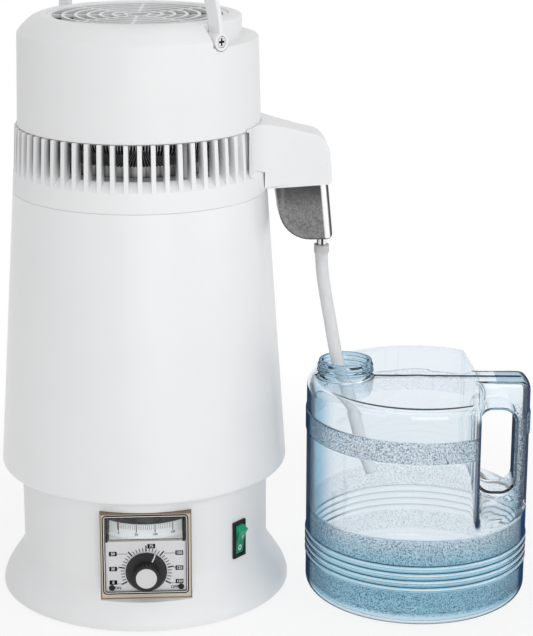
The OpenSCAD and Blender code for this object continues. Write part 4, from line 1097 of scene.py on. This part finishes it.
def turned_solid(name, profile):
    """A solid of revolution about the neck's axis, from a closed profile of (r, z)."""
    bm = bmesh.new()
    rings = [ring_of(bm, [jug_place(NECK_X + r * cos(a), r * sin(a), z) for r, z in profile])
             for a in full_turn(NECK_SIDES)]
    for low, high in zip(rings, rings[1:] + rings[:1]):
        for j in range(len(profile) - 1):
            bm.faces.new((low[j], low[j + 1], high[j + 1], high[j]))
    for j in (0, -1):
        bm.faces.new([ring[j] for ring in rings])
    return new_piece(name, bm)


FINGER_MID = (64.2, 121.5)
FINGER_HALF = (14.4, 35.0)
FINGER_ROUND = 11.0
FINGER_EASE = 3.6
FINGER_END = 22


def finger_hole(grow):
    """The cutter for the finger hole; its ends flare so that the rim is rounded."""
    bm = bmesh.new()
    rings = []
    stations = [-FINGER_END, -GRIP_HALF] + [-GRIP_HALF + FINGER_EASE * (1 - cos(radians(15 * k)))
                                            for k in range(1, 6)]
    stations += [-GRIP_HALF + FINGER_EASE, -6, 0]
    stations += [-s for s in stations[-2::-1]]
    for y in stations:
        into = min(max((GRIP_HALF - abs(y)) / FINGER_EASE, 0), 1)
        flare = FINGER_EASE * (1 - sqrt(1 - (1 - into) ** 2))
        half_w, half_h = FINGER_HALF[0] + grow + flare, FINGER_HALF[1] + grow + flare
        outline = rounded_outline(*FINGER_MID, half_w, half_h, FINGER_ROUND + grow + flare, 8)
        rings.append(ring_of(bm, [jug_place(x, y, z) for x, z in outline]))
    cap_rings(bm, rings)
    return new_piece("finger_cutter", bm)


def carve(target, cutter, operation):
    """Applies one Boolean to target and removes the cutter."""
    step = target.modifiers.new("carve", "BOOLEAN")
    step.operation = operation
    step.solver = "MANIFOLD"
    step.object = cutter
    spent = (target.data, cutter.data)
    target.data = baked(target)
    target.modifiers.clear()
    bpy.data.objects.remove(cutter)
    for mesh in spent:
        bpy.data.meshes.remove(mesh)


QUARTER = [radians(a) for a in even_steps(0, 15, 7)]
HALF = [radians(a) for a in even_steps(0, 30, 7)]
NECK_ROOT = 172
NECK_FOOT = 3.4
NECK_LIP = 1.2
BORE_ROOT = 176
BORE_LIP = 1.0
THREAD = [(JUG_H + 5.4, 1.5), (JUG_H + 9.4, 1.1)]
THREAD_HALF = 1.4


def neck_profile():
    """Outside of the neck: eased foot, two thread beads and a rounded lip."""
    points = [(0, NECK_ROOT), (NECK_R + NECK_FOOT, NECK_ROOT), (NECK_R + NECK_FOOT, JUG_H - 0.2)]
    points += [(NECK_R + NECK_FOOT * (1 - sin(a)), JUG_H + NECK_FOOT * (1 - cos(a))) for a in QUARTER]
    for mid, out in THREAD:
        points += [(NECK_R + out * sin(a), mid - THREAD_HALF * cos(a)) for a in HALF]
    points += [(NECK_R - NECK_LIP + NECK_LIP * cos(a), NECK_TOP - NECK_LIP + NECK_LIP * sin(a))
               for a in QUARTER]
    return points + [(0, NECK_TOP)]


def bore_profile():
    """Inside of the neck, widening at the lip and open above it."""
    points = [(0, BORE_ROOT), (NECK_BORE, BORE_ROOT), (NECK_BORE, NECK_TOP - BORE_LIP)]
    points += [(NECK_BORE + BORE_LIP - BORE_LIP * cos(a), NECK_TOP - BORE_LIP + BORE_LIP * sin(a))
               for a in QUARTER[1:]]
    return points + [(NECK_BORE + BORE_LIP, NECK_TOP + 4), (0, NECK_TOP + 4)]


def blue_jug():
    """Blue polycarbonate: near clear face on, deep blue edge on and low in front, with stippled bands,
    painted highlights over the ribs and painted shade between them and along the pocket's edge.
    """
    f = Finish("blue_polycarbonate")
    x, y, z = f.parts()
    x, y = x - JUG_AT.x * MM, y - JUG_AT.y * MM
    across = x * cos(JUG_TURN) + y * sin(JUG_TURN)
    along = y * cos(JUG_TURN) - x * sin(JUG_TURN)
    outside = (x * x + y * y) ** 0.5 > (JUG_R - 1.2) * MM
    front = 1 - y.rise_mm(-30, 15)
    stipple = f.cells(1.4)
    pits = f.noise(0.85, 2)

    # Frosted places: three bands and the bar of the grip
    bands = z.within_mm(137.4, 155.2, 0.4) + z.within_mm(52, 73, 1.5)
    bands = (bands + z.within_mm(12, 29.5, 1.2)).least(1.0)
    grip_bar = (across > 79.5 * MM) * z.within_mm(80, 152, 4) * (abs(along) < 15 * MM)
    frost = (bands * outside * (0.35 + 0.65 * front)).most(grip_bar * 0.9)
    specks = pits.rise(0.53, 0.57) * frost

    # Lines: low fringe, mould seam, painted highlights over the ribs, painted shade between them and a
    # painted dark line of shade at the edge of the pocket
    fringe = z.within_mm(10, 15, 1.5) * outside * front
    seam = (abs(along) < SEAM_HALF * MM) * z.within_mm(180.9, 182, 0.1)
    painted_shade_between_ribs = sum(z.within_mm(rib + 1.9, rib + 3.0, 0.3) for rib in RIBS) * outside * (0.4 + 0.6 * front)
    painted_rib_highlights = sum(z.within_mm(rib + 0.2, rib + 1.2, 0.3) for rib in RIBS) * outside * front
    to_pocket = abs(across - POCKET_LINE[0] * MM - POCKET_LINE[1] * (GRIP_HALF * MM + along))
    painted_pocket_edge_shade = (1 - to_pocket.rise_mm(1.2, 2.0)) * (along < -70 * MM) * z.within_mm(80, 168, 4)

    # The wall darkens where it is seen edge on, less on the shoulder and in the pockets
    slant = f.node("LayerWeight", {"Blend": 0.5}, "Facing")
    slant = slant * (1 - 0.6 * z.within_mm(175, 181.8, 0.8) * (across < 62 * MM))
    slant = slant * (1 - 0.75 * across.within_mm(42, 77, 3) * z.within_mm(60, 175, 3))
    low = (1 - z.rise_mm(48, 80)) * z.rise_mm(4, 12) * front

    colour = f.blend(low * 0.9, (0.985, 0.99, 1.0), (0.44, 0.74, 0.84))
    colour = f.blend(slant.rise(0.36, 0.64) * 0.8, colour, (0.16, 0.49, 0.68))
    colour = f.blend(z.rise_mm(181.9, 182.5) * 0.45, colour, (0.36, 0.63, 0.80))
    colour = f.blend(specks * 0.95, colour, (0.03, 0.21, 0.40))
    clear = f.shader(base_color=colour, roughness=0.02 + 0.3 * frost, ior=1.5, transmission_weight=1.0,
                     normal=f.bump(stipple * frost + 0.02 * f.noise(14, 1), 0.5, 0.8))
    navy = f.blend(pits, (0.003, 0.026, 0.080), (0.008, 0.052, 0.135))
    rim = f.shader(base_color=navy, roughness=0.45 + 0.1 * pits, specular_ior_level=0.0)
    painted_shine = f.shader(base_color=f.blend(pits, grey(0.85), grey(0.95)), roughness=0.3 + 0.1 * pits, ior=1.5)
    # The navy shader also carries the painted shade between the ribs and at the pocket's edge
    dark = (slant.rise(0.66, 0.78) * 0.95).most(seam * 0.9).most(painted_shade_between_ribs * 0.85).most(specks * 0.7)
    dark = dark.most(fringe * pits.rise(0.50, 0.56) * 0.8).most(painted_pocket_edge_shade * 0.8)
    # The white shader mixed in over the ribs is a painted highlight
    surface = f.mixed(painted_rib_highlights * 0.45, f.mixed(dark, clear, rim), painted_shine)
    depth = f.node("VolumeAbsorption", {"Color": (0.0, 0.405, 0.62), "Density": 36.0})
    return f.done(surface, depth)


def make_jug():
    jug = jug_shell(0)
    carve(jug, turned_solid("neck", neck_profile()), "UNION")
    carve(jug, finger_hole(0), "DIFFERENCE")
    hollow = jug_shell(JUG_WALL)
    carve(hollow, finger_hole(JUG_WALL), "DIFFERENCE")
    carve(hollow, turned_solid("bore", bore_profile()), "UNION")
    carve(jug, hollow, "DIFFERENCE")
    for polygon in jug.data.polygons:
        polygon.use_smooth = True
    jug.data.set_sharp_from_angle(angle=radians(40))
    jug.data.materials.clear()
    jug.data.materials.append(blue_jug())
    jug.visible_shadow = False
    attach(jug, "jug")
    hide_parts("jug_body")


make_jug()


# Stage: pale floor, white surroundings and soft light
FLOOR_BELOW = 0.2 * MM
FLOOR_HALF = 6.0
FLOOR_MID_X = 0.09
FLOOR_FADE = (0.24, 0.62)
SKY_LIGHT = 0.55
SEEN_RAYS = ("Is Camera Ray", "Is Glossy Ray", "Is Transmission Ray")


def seen(f):
    """1 for what the camera sees directly, mirrored or through the jug."""
    camera, glossy, through = (f.node("LightPath", output=ray) for ray in SEEN_RAYS)
    return camera.most(glossy).most(through)


def make_floor():
    """A pale floor that takes soft shadows near the part and is plain white further off."""
    f = Finish("pale_floor")
    x, y, _ = f.parts()
    speck = f.noise(30)
    lit = f.shader(base_color=f.blend(speck, grey(0.90), grey(0.93)), roughness=0.75 + 0.1 * speck)
    white = f.node("Emission", {"Color": grey(1.0), "Strength": 1.0})
    far = (((x - FLOOR_MID_X) ** 2 + y ** 2) ** 0.5).rise(*FLOOR_FADE)
    shown = seen(f)
    bm = bmesh.new()
    bmesh.ops.create_grid(bm, x_segments=2, y_segments=2, size=FLOOR_HALF)
    floor = new_piece("floor", bm, f.done(f.mixed(0.8 * shown + 0.2 * (shown * far), lit, white)))
    floor.location = (0, 0, -FLOOR_BELOW)


def make_surroundings():
    """White wherever the camera sees it, and dimmer as a light."""
    f = Finish("studio", bpy.data.worlds, "OutputWorld")
    strength = SKY_LIGHT + (1 - SKY_LIGHT) * seen(f)
    scene.world = f.done(f.node("Background", {"Color": grey(1.0), "Strength": strength}))


def soft_light(name, at, aim, size, power):
    data = bpy.data.lights.new(name, "AREA")
    data.shape = "RECTANGLE"
    data.size, data.size_y = size
    data.energy = power
    lamp = placed(name, data)
    lamp.location = at
    lamp.rotation_mode = "QUATERNION"
    lamp.rotation_quaternion = (Vector(aim) - Vector(at)).to_track_quat("-Z", "Y")


make_floor()
make_surroundings()
soft_light("front_softbox", (0.35, -2.0, 0.6), (0.03, 0, 0.2), (1.3, 1.5), 10.5)
soft_light("right_softbox", (1.6, -0.7, 0.7), (0.05, 0, 0.2), (1.0, 1.2), 5.6)
soft_light("left_softbox", (-1.5, -1.4, 0.6), (0.0, 0, 0.22), (1.0, 1.2), 2.2)
soft_light("top_softbox", (0.1, -0.2, 2.0), (0.05, 0, 0.2), (1.4, 1.4), 4.6)

scene.view_settings.view_transform = "Standard"
